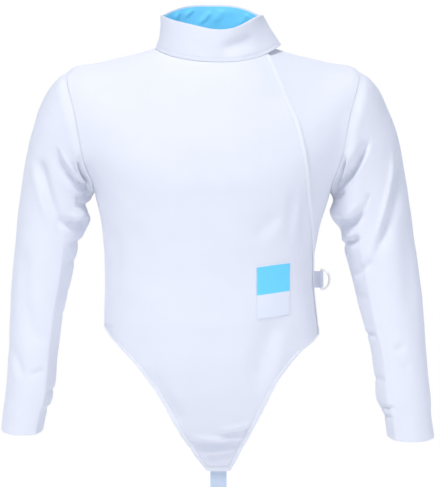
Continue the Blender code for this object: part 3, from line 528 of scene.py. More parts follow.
def sewn(name, lines, thread=0.00026, length=0.0026):
    """Rows of stitches as one mesh: each is a short thread, round in section, that dips in at both ends."""
    along = np.array([-1.0, -0.6, 0.0, 0.6, 1.0])
    thick = np.array([0.35, 0.9, 1.0, 0.9, 0.35])
    lift = np.array([-0.9, 0.25, 0.6, 0.25, -0.9])
    sides = np.arange(4) * HALF_TURN / 2 + HALF_TURN / 4
    place, ahead, up = (np.concatenate(part) for part in zip(*(stitch_run(*line) for line in lines)))
    across = unit(np.cross(ahead, up))
    ring_across = thick[:, None] * np.cos(sides) * thread
    ring_up = (thick[:, None] * np.sin(sides) + lift[:, None]) * thread
    ring_along = np.broadcast_to(along[:, None] * length / 2, ring_up.shape)
    local = [part.reshape(1, -1, 1) for part in (ring_along, ring_across, ring_up)]
    points = place[:, None] + sum(p * v[:, None] for p, v in zip(local, (ahead, across, up)))
    number = np.arange(ring_up.size).reshape(ring_up.shape)
    turned = np.roll(number, -1, axis=1)
    sleeve = np.stack([number[:-1], turned[:-1], turned[1:], number[1:]], -1).reshape(-1, 4)
    caps = np.stack([number[0][::-1], number[-1]])
    start = np.arange(len(place))[:, None, None] * number.size
    faces = (np.concatenate([sleeve, caps])[None] + start).reshape(-1, 4)[:, ::-1]
    piece = meshed(name, points, faces)
    piece.data.materials.append(thread_white)
    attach(piece, "jacket")


def finish(name, constants):
    """A new material, its node tree and its shader, with constants set on the shader's own sockets."""
    material = bpy.data.materials.new(name)
    material.use_nodes = True
    shader = material.node_tree.nodes["Principled BSDF"]
    for socket, value in constants.items():
        shader.inputs[socket].default_value = value
    return material, material.node_tree, shader


def node(tree, kind, constants=(), **settings):
    """A new shader node, with its settings, and constants on its sockets."""
    made = tree.nodes.new("ShaderNode" + kind)
    for setting, value in settings.items():
        setattr(made, setting, value)
    for socket, value in dict(constants).items():
        made.inputs[socket].default_value = value
    return made


def join(tree, *links):
    """Links, each given as a node, its output, the next node and that node's input."""
    for start, output, end, socket in links:
        tree.links.new(start.outputs[output], end.inputs[socket])


def woven(name, colour, shade, roughness, sheen, weave_scale=450, weave_depth=0.00006):
    """Tightly woven cloth: fine twill lines across the panel's own UVs, a soft nap, and faint mottling."""
    nap = {"Roughness": roughness, "Sheen Weight": sheen, "Sheen Roughness": 0.4, "Specular IOR Level": 0.25}
    material, tree, shader = finish(name, nap)
    place = node(tree, "TexCoord")
    mottle = node(tree, "TexNoise", {"Scale": 26, "Detail": 4})
    blend = node(tree, "Mix", {"A": (*colour, 1), "B": (*shade, 1)}, data_type="RGBA")
    twill = node(tree, "TexWave", {"Scale": weave_scale * 2, "Distortion": 0.3}, bands_direction="DIAGONAL")
    weft = node(tree, "TexWave", {"Scale": weave_scale, "Distortion": 0.3}, bands_direction="Y")
    weave = node(tree, "Math", operation="ADD")
    bump = node(tree, "Bump", {"Strength": 0.6, "Distance": weave_depth})
    join(
        tree,
        (place, "Object", mottle, "Vector"),
        (mottle, "Fac", blend, "Factor"),
        (blend, "Result", shader, "Base Color"),
        (place, "UV", twill, "Vector"),
        (place, "UV", weft, "Vector"),
        (twill, "Fac", weave, 0),
        (weft, "Fac", weave, 1),
        (weave, "Value", bump, "Height"),
        (bump, "Normal", shader, "Normal"),
    )
    return material


white_cloth = woven("white_cloth", (0.860, 0.870, 0.925), (0.830, 0.842, 0.910), 0.82, 0.25)
thread_white = woven("white_thread", (0.86, 0.87, 0.93), (0.82, 0.83, 0.90), 0.6, 0.2)


def shaped(surface, normals, fade=1.0):
    """The body's cloth: its armholes filled out, and folds and slow waves pressed in, short of the seams."""
    left, from_left = armhole_swell(surface, 1)
    right, from_right = armhole_swell(surface, -1)
    fade = fade * smoothstep(np.minimum(from_left, from_right) / SEAM_FADE)
    pressed = (folded(surface, normals[..., 1], BODY_FOLDS) + gentle_waves(surface)) * fade
    return surface + left + right - pressed[..., None] * normals


def on_body(panel):
    """A body panel's outer face, whose folds begin a little below the neck seam."""
    return shaped(panel.outer, panel.normals, smoothstep(panel.level / FOLDS_BEGIN))


def body_levels(above, round_armhole, *below):
    """Levels from the neck seam down: even, then closer at each end of the armhole, then even again."""
    turn = np.linspace(0, HALF_TURN, round_armhole)
    parts = [
        np.linspace(0, SHOULDER_LEVEL, above)[:-1],
        SHOULDER_LEVEL + (ARMPIT_LEVEL - SHOULDER_LEVEL) * (1 - np.cos(turn)) / 2,
    ]
    start = ARMPIT_LEVEL
    for end, count in below:
        parts.append(np.linspace(start, end, count)[1:])
        start = end
    return np.concatenate(parts)


levels = with_edges(body_levels(46, 65, (8.9, 58), (9.6, 44), (TIP_LEVEL, 84)), NECK_SPEED, POINT_SPEED)
right = -(QUARTER_TURN - ARMHOLE_FRONT * armhole_share(levels))
right = np.where(levels > SIDE_HEM_LEVEL, point_hem_edge(levels, 1), right)
# The corner between the free edge and the pointed hem is a little rounded.
hem = point_hem_edge(levels, 2)
in_hem = smoothstep((levels - CLOSING_HEM_LEVEL + 0.16) / 0.24)
left = closing_edge(levels) * (1 - in_hem) + np.minimum(hem, closing_edge(levels)) * in_hem
front = panel_on(front_point, torso_normals, (right, left), levels, 0.0, FRONT_COLUMNS, on_body)
front_cloth = wall_of("front_cloth", front, seams="first top")
front_cloth.data.materials.append(white_cloth)
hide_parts("front")

# The row of stitches down the front that holds the placket behind it, 20 mm in from the free edge,
# and the stitches round the right armhole and down the right side seam.
PLACKET_IN = 0.020
SEAM_STITCH_IN = 0.0046
SHOULDER_SPAN = (0.15, 2.98)  # levels between which a seam is stitched
ARMHOLE_SPAN = (3.02, 5.98)
SIDE_SPAN = (6.05, 8.95)
PLACKET_SPAN = (0.25, 9.15)


def line_across(panel, distance, rows, side):
    """A line of points at a set distance from a panel's first or last edge, over some of its rows."""
    measured = panel.from_first if side == "first" else panel.from_last
    points, normals = [], []
    for row in rows:
        order = np.argsort(measured[row])
        near = measured[row][order]
        points.append(read_off(distance, near, panel.outer[row][order]))
        normals.append(read_off(distance, near, panel.normals[row][order]))
    return np.array(points), np.array(normals)


def rows_between(panel, low, high):
    """The rows of a panel whose level lies between low and high."""
    level = panel.level[:, 0]
    return np.flatnonzero((level >= low) & (level <= high))


def seam_lines(panel, side, *spans):
    """The lines of stitches beside a panel's first or last edge, over some spans of its levels."""
    return [line_across(panel, SEAM_STITCH_IN, rows_between(panel, *span), side) for span in spans]


def line_down(panel, row, inset=3):
    """A line of points along one row of a panel, short of its edges."""
    keep = slice(inset, panel.outer.shape[1] - inset)
    return panel.outer[row, keep], panel.normals[row, keep]


def row_at(panel, distance, end):
    """The row whose middle is nearest to a set distance from a panel's top or bottom."""
    measured = panel.from_top if end == "top" else panel.from_bottom
    middle = measured[:, measured.shape[1] // 2]
    return int(np.argmin(np.abs(middle - distance)))


placket = line_across(front, PLACKET_IN, rows_between(front, *PLACKET_SPAN), "last")
sewn("front_stitches", [placket, *seam_lines(front, "first", SHOULDER_SPAN, ARMHOLE_SPAN, SIDE_SPAN)])


# The band down the closing edge and the binding of the pointed hem: white tape about 7.5 mm wide,
# laid on the front's edge and stitched along both of its own edges.
TAPE = 0.0012
TAPE_ROUND = 0.0022
TAPE_SHARE = 0.46  # of its thickness, by which its edges are rounded
TAPE_GAP = 0.00020
TAPE_STITCHES = (0.0011, 0.0063)  # in from its outer edge, and the cloth sinks a little along them
TAPE_SINKS = 0.00018
TAPE_SINK_WIDTH = 0.0006
BAND_SPAN = (0.12, 9.0)  # levels that the closing band covers
tape_cloth = woven("white_tape", (0.905, 0.912, 0.955), (0.890, 0.898, 0.945), 0.78, 0.3, 520)


def tape(name, places, stitched):
    """A tape over places of the front whose columns run inward: lifted, with its own edges rounded."""
    base, normals = front.outer[places], front.normals[places]
    steps = np.linalg.norm(np.diff(base, axis=1), axis=-1)
    across = np.concatenate([np.zeros((len(steps), 1)), np.cumsum(steps, axis=1)], axis=1)
    nearest = np.minimum(across, across[:, -1:] - across)
    t = np.clip(1 - nearest / TAPE_ROUND, 0, 1)
    drop = (TAPE_SHARE * TAPE * (1 - np.sqrt(1 - t * t)))[..., None]
    sunk = sum(np.exp(-(((across - row) / TAPE_SINK_WIDTH) ** 2)) for row in TAPE_STITCHES) * TAPE_SINKS
    lifted = base + (TAPE_GAP + TAPE - sunk)[..., None] * normals
    inner = base + TAPE_GAP * normals + drop * normals
    down = lengths_down(base)
    uv = np.stack([across, -np.broadcast_to(down[:, [base.shape[1] // 2]], across.shape)], -1)
    piece = shell(name, lifted - drop * normals, inner, uv)
    piece.data.materials.append(tape_cloth)
    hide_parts(name.replace("_tape", ""))
    columns = [int(np.argmin(np.abs(across[len(across) // 2] - row))) for row in TAPE_STITCHES]
    sewn(stitched, [(lifted[3:-3, column], normals[3:-3, column]) for column in columns])
    return piece


band = np.ix_(rows_between(front, *BAND_SPAN), front.outer.shape[1] - 1 - np.arange(BAND_COLUMNS))
closing_tape = tape("closing_band_tape", band, "closing_stitches")


def hem_places():
    """Rows and columns round the pointed hem: down the right, across the tip and up the left."""
    last = front.outer.shape[0] - 1
    width = front.outer.shape[1]
    inward = np.arange(BAND_COLUMNS)
    level = front.level[:, 0]
    start = int(np.argmax(level > SIDE_HEM_LEVEL - 1e-6))
    start_left = int(np.argmax(level > CLOSING_HEM_LEVEL - 0.3))
    down = [(np.full(BAND_COLUMNS, row), inward) for row in range(start, last - BAND_COLUMNS)]
    across = range(BAND_COLUMNS, width - BAND_COLUMNS)
    tip = [(last - inward, np.full(BAND_COLUMNS, column)) for column in across]
    rising = range(last - BAND_COLUMNS - 1, start_left, -1)
    up = [(np.full(BAND_COLUMNS, row), width - 1 - inward) for row in rising]
    corners = (last - inward, inward), (last - inward, width - 1 - inward)
    places = np.array([*down, corners[0], *tip, corners[1], *up])
    return places[:, 0], places[:, 1]


point_tape = tape("point_binding_tape", hem_places(), "point_stitches")


# The underlap: the narrow left front that the wide front closes over, of the same two layers. Its
# outer strip shows beside the left armhole.
HEM_STITCH_IN = 0.0064


def white_panel(name, seams, *laid):
    """A panel made as panel_on does, and its wall of white cloth."""
    panel = panel_on(*laid)
    piece = wall_of(name, panel, seams=seams)
    piece.data.materials.append(white_cloth)
    return panel, piece


levels = with_edges(body_levels(44, 57, (UNDERLAP_HEM_LEVEL, 60)), NECK_SPEED, HEM_SPEED)
edges = underlap_edge(levels), QUARTER_TURN - ARMHOLE_FRONT * armhole_share(levels)
underlap, underlap_cloth = white_panel(
    "underlap_cloth", "last top", torso_point, torso_normals, edges, levels, QUARTER_TURN, 34, on_body
)
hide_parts("underlap")
hem_line = line_down(underlap, row_at(underlap, HEM_STITCH_IN, "bottom"))
sewn("underlap_stitches", [*seam_lines(underlap, "last", SHOULDER_SPAN, ARMHOLE_SPAN), hem_line])


# The back, in one piece from side seam to side seam and up to the collar. It isn't seen in the
# photograph, so its folds are like the front's. Its hem is turned up and stitched.
BACK_COLUMNS = 108
TURNED_EDGE = 0.0012  # the first of the two rows round the hem


def hem_drop(share, level):
    """How much lower the hem hangs towards the left side, to meet the underlap's corner."""
    below_armpit = np.clip((level - ARMPIT_LEVEL) / (SIDE_HEM_LEVEL - ARMPIT_LEVEL), 0, 1)
    return below_armpit * (UNDERLAP_HEM_LEVEL - SIDE_HEM_LEVEL) * smoothstep(1 - share)


levels = with_edges(body_levels(44, 57, (SIDE_HEM_LEVEL, 60)), NECK_SPEED, HEM_SPEED)
cut = ARMHOLE_BACK * armhole_share(levels)
edges = QUARTER_TURN + cut, 3 * QUARTER_TURN - cut
back, back_cloth = white_panel(
    "back_cloth", "first last top",
    torso_point, torso_normals, edges, levels, HALF_TURN, BACK_COLUMNS, on_body, hem_drop,
)
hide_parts("back")
back_spans = SHOULDER_SPAN, ARMHOLE_SPAN, (6.05, 8.9)
back_hem = [line_down(back, row_at(back, distance, "bottom")) for distance in (TURNED_EDGE, HEM_STITCH_IN)]
back_seams = [line for edge in ("first", "last") for line in seam_lines(back, edge, *back_spans)]
sewn("back_stitches", back_seams + back_hem)


# The sleeves, each an upper panel, an under panel and a gusset that fills the underarm, of the same
# white cloth. They hang a little away from the body, bunched under the arm, and their cuffs are
# hemmed 46 mm deep.
GUSSET_LEVEL = 7.0
SEAM_FRONT = np.radians(120)  # round the sleeve from its outer fold
SEAM_BACK = np.radians(225)
SEAM_DRIFT = np.radians(8)  # how far the front seam runs inward down the arm
RIDGE = 0.0056  # the under sleeve's seams stand up as pressed corners
RIDGE_REACH = 0.012
CUFF_HEM = 0.046
CUFF_SPEED = 0.030  # metres of cloth to one level, at the cuff, the armhole and the gusset's ends
ARMHOLE_SPEED = 0.014
GUSSET_SPEEDS = (0.010, 0.016)
UNDER_SPEED = 0.018
RIDGE_ROUND = 0.001
UPPER_COLUMNS = 132
UNDER_COLUMNS = 38
SLEEVE_FOLDS = [Fold(*row) for row in (
    # Right sleeve, in front: the deep folds that run into the armpit, then those down the arm
    (-1, -0.2345, -0.1405, -0.2060, -0.1890, -0.1620, -0.2130, 0.0125, 0.0036, 0.0095, 0.0030),
    (-1, -0.1932, -0.1500, -0.1890, -0.1850, -0.1640, -0.2150, 0.0135, 0.0032, 0.0050, 0.0012),
    (-1, -0.2090, -0.1600, -0.2000, -0.1830, -0.1850, -0.2010, 0.0030, 0.0022, 0.0026, 0.0),
    (-1, -0.2075, -0.2150, -0.1940, -0.2180, -0.1770, -0.2120, 0.0060, 0.0038, 0.0044, 0.0010),
    (0, -0.2070, -0.2240, -0.1940, -0.2280, -0.1780, -0.2270, 0.0055, 0.0056, 0.0050, 0.0),
    (-1, -0.2300, -0.2480, -0.2042, -0.2590, -0.1815, -0.2470, 0.0100, 0.0060, 0.0075, 0.0030),
    (-1, -0.2260, -0.2420, -0.2300, -0.2620, -0.2180, -0.2860, 0.0030, 0.0060, 0.0050, 0.0010),
    (0, -0.2180, -0.2910, -0.2080, -0.2860, -0.1980, -0.2790, 0.0048, 0.0042, 0.0050, 0.0010),
    (-1, -0.2610, -0.1540, -0.2480, -0.2061, -0.2270, -0.2690, 0.0085, 0.0070, 0.0070, -0.0022),
    (0, -0.2240, -0.3190, -0.2170, -0.3150, -0.2080, -0.3080, 0.0034, 0.0045, 0.0050, 0.0008),
    (0, -0.2320, -0.3620, -0.2270, -0.3590, -0.2180, -0.3560, 0.0020, 0.0050, 0.0040, 0.0),
    (0, -0.2380, -0.3950, -0.2310, -0.3930, -0.2250, -0.3890, 0.0018, 0.0040, 0.0045, 0.0),
    (0, -0.2520, -0.5060, -0.2450, -0.5080, -0.2380, -0.5040, 0.0030, 0.0050, 0.0040, 0.0008),
    (0, -0.2560, -0.5330, -0.2500, -0.5350, -0.2430, -0.5320, 0.0024, 0.0036, 0.0040, 0.0006),
    (-1, -0.2890, -0.3500, -0.2720, -0.4080, -0.2500, -0.4360, 0.0040, 0.0120, 0.0140, 0.0010),
    (-1, -0.3010, -0.4400, -0.2910, -0.4680, -0.2820, -0.4880, 0.0026, 0.0070, 0.0060, -0.0008),
    (-1, -0.2760, -0.4840, -0.2650, -0.4800, -0.2530, -0.4740, 0.0024, 0.0040, 0.0045, 0.0006),
    (-1, -0.2830, -0.2900, -0.2850, -0.3300, -0.2810, -0.3800, 0.0026, 0.0100, 0.0110, 0.0),
    # Left sleeve, in front
    (-1, 0.2330, -0.1280, 0.2100, -0.1760, 0.1700, -0.2200, 0.0125, 0.0034, 0.0085, -0.0032),
    (-1, 0.1920, -0.1500, 0.1860, -0.1820, 0.1740, -0.2130, 0.0115, 0.0046, 0.0038, 0.0006),
    (-1, 0.2040, -0.1640, 0.1970, -0.1840, 0.1860, -0.2010, 0.0022, 0.0030, 0.0030, 0.0),
    (-1, 0.1800, -0.2090, 0.1880, -0.2120, 0.1980, -0.2060, 0.0045, 0.0040, 0.0046, 0.0),
    (-1, 0.1790, -0.2420, 0.2040, -0.2560, 0.2290, -0.2250, 0.0105, 0.0060, 0.0085, 0.0030),
    (0, 0.1950, -0.2830, 0.2070, -0.2850, 0.2230, -0.2740, 0.0080, 0.0050, 0.0060, 0.0020),
    (-1, 0.2795, -0.1440, 0.2705, -0.2160, 0.2400, -0.3160, 0.0092, 0.0125, 0.0048, -0.0036),
    (-1, 0.2380, -0.3080, 0.2300, -0.3210, 0.2200, -0.3250, 0.0036, 0.0060, 0.0040, 0.0),
    (-1, 0.2340, -0.2080, 0.2310, -0.2230, 0.2240, -0.2380, 0.0036, 0.0028, 0.0040, 0.0008),
    (-1, 0.2900, -0.2200, 0.2960, -0.3100, 0.2980, -0.4150, 0.0040, 0.0120, 0.0170, 0.0010),
    (0, 0.2120, -0.3330, 0.2180, -0.3310, 0.2280, -0.3290, 0.0028, 0.0040, 0.0050, 0.0),
    (0, 0.2200, -0.3720, 0.2270, -0.3680, 0.2370, -0.3700, 0.0024, 0.0050, 0.0040, 0.0),
    (0, 0.2340, -0.4280, 0.2400, -0.4240, 0.2500, -0.4260, 0.0026, 0.0046, 0.0050, 0.0006),
    (0, 0.2440, -0.4870, 0.2520, -0.4900, 0.2620, -0.4860, 0.0026, 0.0044, 0.0050, 0.0),
    (0, 0.2540, -0.5290, 0.2620, -0.5320, 0.2740, -0.5290, 0.0034, 0.0034, 0.0040, 0.0006),
    (0, 0.2560, -0.5440, 0.2640, -0.5460, 0.2740, -0.5430, 0.0022, 0.0030, 0.0034, 0.0),
    (-1, 0.2700, -0.4480, 0.2800, -0.4420, 0.2920, -0.4330, 0.0024, 0.0050, 0.0045, 0.0006),
    (-1, 0.2790, -0.4740, 0.2880, -0.4700, 0.3000, -0.4630, 0.0020, 0.0045, 0.0050, 0.0),
    # Both sleeves, behind
    (1, 0.2460, -0.1300, 0.2200, -0.1750, 0.1900, -0.2150, 0.0075, 0.0080, 0.0050, -0.0018),
    (1, 0.2130, -0.1560, 0.2010, -0.1830, 0.1850, -0.2060, 0.0034, 0.0032, 0.0040, 0.0),
    (1, 0.2840, -0.1900, 0.2650, -0.2400, 0.2400, -0.3000, 0.0050, 0.0090, 0.0100, 0.0010),
    (1, 0.2280, -0.2420, 0.2130, -0.2560, 0.1980, -0.2560, 0.0048, 0.0060, 0.0060, 0.0018),
    (1, 0.3050, -0.3450, 0.2880, -0.3900, 0.2700, -0.4150, 0.0034, 0.0080, 0.0100, 0.0008),
    (1, 0.3000, -0.4150, 0.2850, -0.4350, 0.2620, -0.4450, 0.0022, 0.0060, 0.0070, 0.0),
    (1, -0.2460, -0.1350, -0.2180, -0.1780, -0.1880, -0.2150, 0.0075, 0.0050, 0.0080, 0.0018),
    (1, -0.2150, -0.1600, -0.2000, -0.1850, -0.1840, -0.2070, 0.0034, 0.0036, 0.0032, 0.0),
    (1, -0.2780, -0.2000, -0.2600, -0.2550, -0.2360, -0.3100, 0.0050, 0.0100, 0.0090, -0.0010),
    (1, -0.2270, -0.2450, -0.2110, -0.2560, -0.1960, -0.2560, 0.0046, 0.0060, 0.0060, -0.0016),
    (1, -0.2950, -0.3400, -0.2800, -0.3850, -0.2600, -0.4150, 0.0034, 0.0090, 0.0080, -0.0008),
    (1, -0.2900, -0.4120, -0.2750, -0.4320, -0.2540, -0.4420, 0.0022, 0.0060, 0.0070, 0.0),
)]


def front_seam(levels):
    """The angle of a sleeve's front seam at each level."""
    return SEAM_FRONT + SEAM_DRIFT * smoothstep((levels - 6) / 4)


def sleeve_panel(name, side, seams, edges, levels, columns):
    """One panel of a sleeve between two angles of its rings, with its folds pressed in."""
    def surface(phi, level):
        return sleeve_point(side, phi, level)

    def outward(phi, level):
        return sleeve_normals(side, phi, level)

    def dressed(panel):
        swell, from_armhole = armhole_swell(panel.outer, side)
        pressed = folded(panel.outer, panel.normals[..., 1], SLEEVE_FOLDS) + gentle_waves(panel.outer)
        pressed = pressed * smoothstep(from_armhole / SEAM_FADE)
        from_seam = np.minimum(panel.from_first, panel.from_last)
        from_corner = np.sqrt(from_seam**2 + RIDGE_ROUND**2)
        pressed -= RIDGE * np.exp(-from_corner / RIDGE_REACH) * smoothstep((panel.level - 5.5) / 4)
        return panel.outer + swell - pressed[..., None] * panel.normals

    middle = (edges[0][0] + edges[1][0]) / 2
    return white_panel(name, seams, surface, outward, edges, levels, middle, columns, dressed)


bunched = np.linspace(0, GUSSET_LEVEL, 82)
arm_levels = np.linspace(GUSSET_LEVEL, CUFF_LEVEL, 104)
upper_levels = with_edges(np.concatenate([bunched, arm_levels[1:]]), ARMHOLE_SPEED, CUFF_SPEED)
gusset_levels = with_edges(bunched, *GUSSET_SPEEDS)
under_levels = with_edges(arm_levels, UNDER_SPEED, CUFF_SPEED)
upper_edges = np.full(len(upper_levels), SEAM_BACK) - 2 * HALF_TURN, front_seam(upper_levels)
gusset_edges = front_seam(gusset_levels), np.full(len(gusset_levels), SEAM_BACK)
under_edges = front_seam(under_levels), np.full(len(under_levels), SEAM_BACK)
for word, side in (("left", 1), ("right", -1)):
    upper, upper_cloth = sleeve_panel(
        f"sleeve_{word}_upper_cloth", side, "first last top", upper_edges, upper_levels, UPPER_COLUMNS
    )
    _, gusset_cloth = sleeve_panel(
        f"gusset_{word}_cloth", side, "first last top bottom", gusset_edges, gusset_levels, UNDER_COLUMNS
    )
    under, under_cloth = sleeve_panel(
        f"sleeve_{word}_under_cloth", side, "first last top", under_edges, under_levels, UNDER_COLUMNS
    )
    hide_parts(f"sleeve_{word}_upper")
    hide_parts(f"gusset_{word}")
    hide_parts(f"sleeve_{word}_under")
    stitched = range(len(EDGE_STEPS), len(upper_levels) - len(EDGE_STEPS))
    lines = [line_down(panel, row_at(panel, CUFF_HEM, "bottom")) for panel in (upper, under)]
    lines += [line_across(upper, SEAM_STITCH_IN, stitched, edge) for edge in ("first", "last")]
    sewn(f"sleeve_{word}_stitches", lines)


# The stand collar, a stiffened strip of the same white cloth that goes once round the neck and laps
# over its own start. It is sewn to the neck seam, and its free end springs away a little.
COLLAR_CLOTH = 0.0022
COLLAR_HALF_WIDTH = 0.0765
COLLAR_CENTRE_X = -0.003
COLLAR_FRONT_Y = -0.074
COLLAR_BACK_Y = 0.050
COLLAR_FRONT_Z = 0.033
COLLAR_SIDE_Z = 0.0592
COLLAR_BACK_Z = 0.0815
COLLAR_LAP = 0.0032  # how far the lapped end stands out from the start of the strip
COLLAR_END = np.radians(360 + 86)
COLLAR_END_FLARE = 0.0055
COLLAR_END_LIFT = 0.004
COLLAR_SPRING = np.radians(40)  # the stretch of the free end that springs away
COLLAR_STITCH_IN = 0.0052
COLLAR_GROOVE = 0.0004  # the stitches pull the cloth in by this
COLLAR_GROOVE_WIDTH = 0.0011
COLLAR_FADE = 0.2  # share of the height over which its folds fade at each edge
COLLAR_START = float(underlap_edge(0.0)) + np.radians(1.5)
RIM_SPEED = 0.085  # metres of cloth to the whole height
COLLAR_FOLDS = [Fold(*row) for row in (
    (-1, 0.0640, 0.0240, 0.0370, 0.0110, 0.0060, 0.0010, 0.0042, 0.0120, 0.0085, 0.0010),
    (-1, -0.0500, 0.0280, -0.0280, 0.0080, 0.0000, -0.0040, 0.0010, 0.0120, 0.0120, 0.0),
    (1, 0.0500, 0.0600, 0.0300, 0.0420, 0.0050, 0.0300, 0.0016, 0.0100, 0.0100, 0.0),
    (1, -0.0550, 0.0300, -0.0300, 0.0380, -0.0050, 0.0550, 0.0014, 0.0110, 0.0110, 0.0),
)]


def collar_form(theta, down, inset=0.0):
    """The collar: curves from the neck seam up to an ellipse, steeper as they rise, its free end flared."""
    theta, down = np.broadcast_arrays(np.asarray(theta, float), np.asarray(down, float))
    height = 1 - down
    second_turn = theta > 3 * QUARTER_TURN
    turn = theta - 2 * HALF_TURN * second_turn
    lapped = np.where(second_turn, ride_up(turn, 0.0 * turn), 0.0)
    low = torso_point(turn, NECK_STEP * lapped)
    low = low + (CLOTH + LAP_GAP) * lapped[..., None] * torso_normals(turn, 0.0 * turn)
    low[..., 2] += SEAM_GAP
    sine, cosine = np.sin(turn), np.cos(turn)
    middle_y = (COLLAR_FRONT_Y + COLLAR_BACK_Y) / 2
    half_y = (COLLAR_BACK_Y - COLLAR_FRONT_Y) / 2
    edge_z = np.where(cosine > 0, COLLAR_FRONT_Z, COLLAR_BACK_Z)
    out = np.stack([sine, -cosine, np.zeros_like(sine)], axis=-1)
    skewed = cosine**2 * (1 + 0.45 * sine - 0.7 * sine**3)
    rise = np.where(cosine > 0, skewed, 1 - np.abs(sine) ** 3)
    high = np.stack(
        [
            COLLAR_CENTRE_X + COLLAR_HALF_WIDTH * sine,
            middle_y - half_y * cosine,
            COLLAR_SIDE_Z + (edge_z - COLLAR_SIDE_Z) * rise,
        ],
        axis=-1,
    )
    high = high + COLLAR_LAP * lapped[..., None] * out
    springs = smoothstep((theta - COLLAR_END + COLLAR_SPRING) / COLLAR_SPRING)
    flare = COLLAR_END_FLARE * springs * (1 - height)
    inward = 1 - np.maximum(down, 0) ** (3.4 - 2.2 * springs)
    point = low + (high - low) * np.stack([inward, inward, height], -1)
    point[..., 2] += COLLAR_END_LIFT * springs * (1 - height)
    return point + (flare - inset)[..., None] * out


COLLAR_COLUMNS = 190
heights = with_edges(np.linspace(0, 1, 30), RIM_SPEED, RIM_SPEED)


def collar_normals(theta, down):
    """Outward normals of the collar."""
    return normals_of(collar_form, theta, down)


def on_collar(panel):
    """The collar's outer face: its folds, and the shallow groove of the stitches beside its rim."""
    pressed = folded(panel.outer, panel.normals[..., 1], COLLAR_FOLDS)
    pressed *= smoothstep(panel.level / COLLAR_FADE) * smoothstep((1 - panel.level) / COLLAR_FADE)
    from_stitches = (panel.from_bottom - COLLAR_STITCH_IN) / COLLAR_GROOVE_WIDTH
    pressed += COLLAR_GROOVE * np.exp(-(from_stitches**2))
    return panel.outer - pressed[..., None] * panel.normals


edges = np.full(len(heights), COLLAR_START), np.full(len(heights), COLLAR_END)
collar = panel_on(collar_form, collar_normals, edges, heights, HALF_TURN, COLLAR_COLUMNS, on_collar)
collar_cloth = wall_of("collar_cloth", collar, COLLAR_CLOTH, "bottom")
collar_cloth.data.materials.append(white_cloth)
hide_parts("collar")
collar_lines = [
    line_down(collar, row_at(collar, COLLAR_STITCH_IN, "bottom"), 10),
    line_across(collar, COLLAR_STITCH_IN, range(12, len(heights) - 10), "last"),
]
sewn("collar_stitches", collar_lines)


# The collar's lining, a smooth bright blue cloth that goes once round the inside of the neck. It is
# slack, so it lies in soft slanting folds.
LINING_CLOTH = 0.0010
LINING_SLACK = 0.0005
LINING_DOWN = (0.05, 0.96)
LINING_GAP = 0.00045
LINING_STANDS = 0.0004  # how far a fold may stand out
LINING_FADE = 0.14
LINING_FOLDS = [Fold(*row) for row in (
    (1, -0.0030, 0.0720, -0.0110, 0.0610, -0.0250, 0.0500, 0.0018, 0.0028, 0.0050, 0.0),
    (1, -0.0310, 0.0760, -0.0360, 0.0690, -0.0450, 0.0600, 0.0016, 0.0028, 0.0044, 0.0),
    (1, -0.0540, 0.0730, -0.0550, 0.0640, -0.0600, 0.0550, 0.0015, 0.0026, 0.0036, 0.0),
    (1, 0.0360, 0.0610, 0.0220, 0.0530, 0.0060, 0.0450, -0.0018, 0.0060, 0.0060, 0.0),
    (1, 0.0560, 0.0670, 0.0500, 0.0570, 0.0420, 0.0470, 0.0017, 0.0030, 0.0042, 0.0),
    (1, 0.0180, 0.0740, 0.0100, 0.0640, -0.0020, 0.0540, 0.0012, 0.0040, 0.0060, 0.0),
    (-1, 0.0300, 0.0120, 0.0200, 0.0020, 0.0050, -0.0080, 0.0012, 0.0060, 0.0060, 0.0),
    (-1, -0.0450, 0.0220, -0.0330, 0.0060, -0.0250, -0.0060, 0.0012, 0.0060, 0.0060, 0.0),
)]


def satin(name, colour, shade):
    """Smooth lining cloth: a low sheen, drifting between two blues, with a very fine weave in its UVs, and a
    faint painted glow.
    """
    material = woven(name, colour, shade, 0.46, 0.15, 900, 0.00002)
    shader = material.node_tree.nodes["Principled BSDF"]
    shader.inputs["Specular IOR Level"].default_value = 0.4
    # A faint painted glow: the lining gives off a little light in its own blue, which stands in for the
    # studio's light coming through such thin cloth.
    shader.inputs["Emission Color"].default_value = (*colour, 1)
    shader.inputs["Emission Strength"].default_value = 0.10
    return material


def on_lining(panel):
    """The lining's face: slack cloth in folds that fade at its edges, over the collar's own folds."""
    top, bottom = LINING_DOWN
    pressed = folded(panel.outer, panel.normals[..., 1], LINING_FOLDS)
    fade = smoothstep((panel.level - top) / LINING_FADE) * smoothstep((bottom - panel.level) / LINING_FADE)
    follows = folded(panel.outer, panel.normals[..., 1], COLLAR_FOLDS)
    slack = follows + (LINING_SLACK + np.maximum(pressed, -LINING_STANDS)) * fade
    return panel.outer - slack[..., None] * panel.normals


heights = with_edges(np.linspace(*LINING_DOWN, 34), RIM_SPEED, RIM_SPEED)
lining_end = COLLAR_START + 2 * HALF_TURN - np.radians(1.2)
edges = np.full(len(heights), COLLAR_START), np.full(len(heights), lining_end)
lining_panel = panel_on(
    collar_form, collar_normals, edges, heights, HALF_TURN, COLLAR_COLUMNS, on_lining,
    inset=(COLLAR_CLOTH + LINING_GAP,),
)
lining = wall_of("collar_lining_satin", lining_panel, LINING_CLOTH)
lining.data.materials.append(satin("blue_satin", (0.190, 0.700, 1.0), (0.160, 0.640, 0.995)))
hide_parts("collar_lining")


# The maker's patch at the waist, left plain: a woven label, bright blue above and white below, with
# its edges turned under and a row of stitches round all four.
PATCH_CLOTH = 0.0007
PATCH_GAP = 0.00045
PATCH_X = (0.064, 0.1125)
PATCH_TOP_Z = -0.319
PATCH_HEIGHT = 0.078
PATCH_RISE = 0.0065  # its far side sits this much higher than its near side
PATCH_BLUE = (0.025, 0.555)  # shares of its height
PATCH_STITCH_IN = 0.0016
PATCH_SINKS = 0.00012  # how far the stitches pull it in, and at most where two rows cross
PATCH_SINKS_MOST = 0.0002
PATCH_SINK_WIDTH = 0.0006


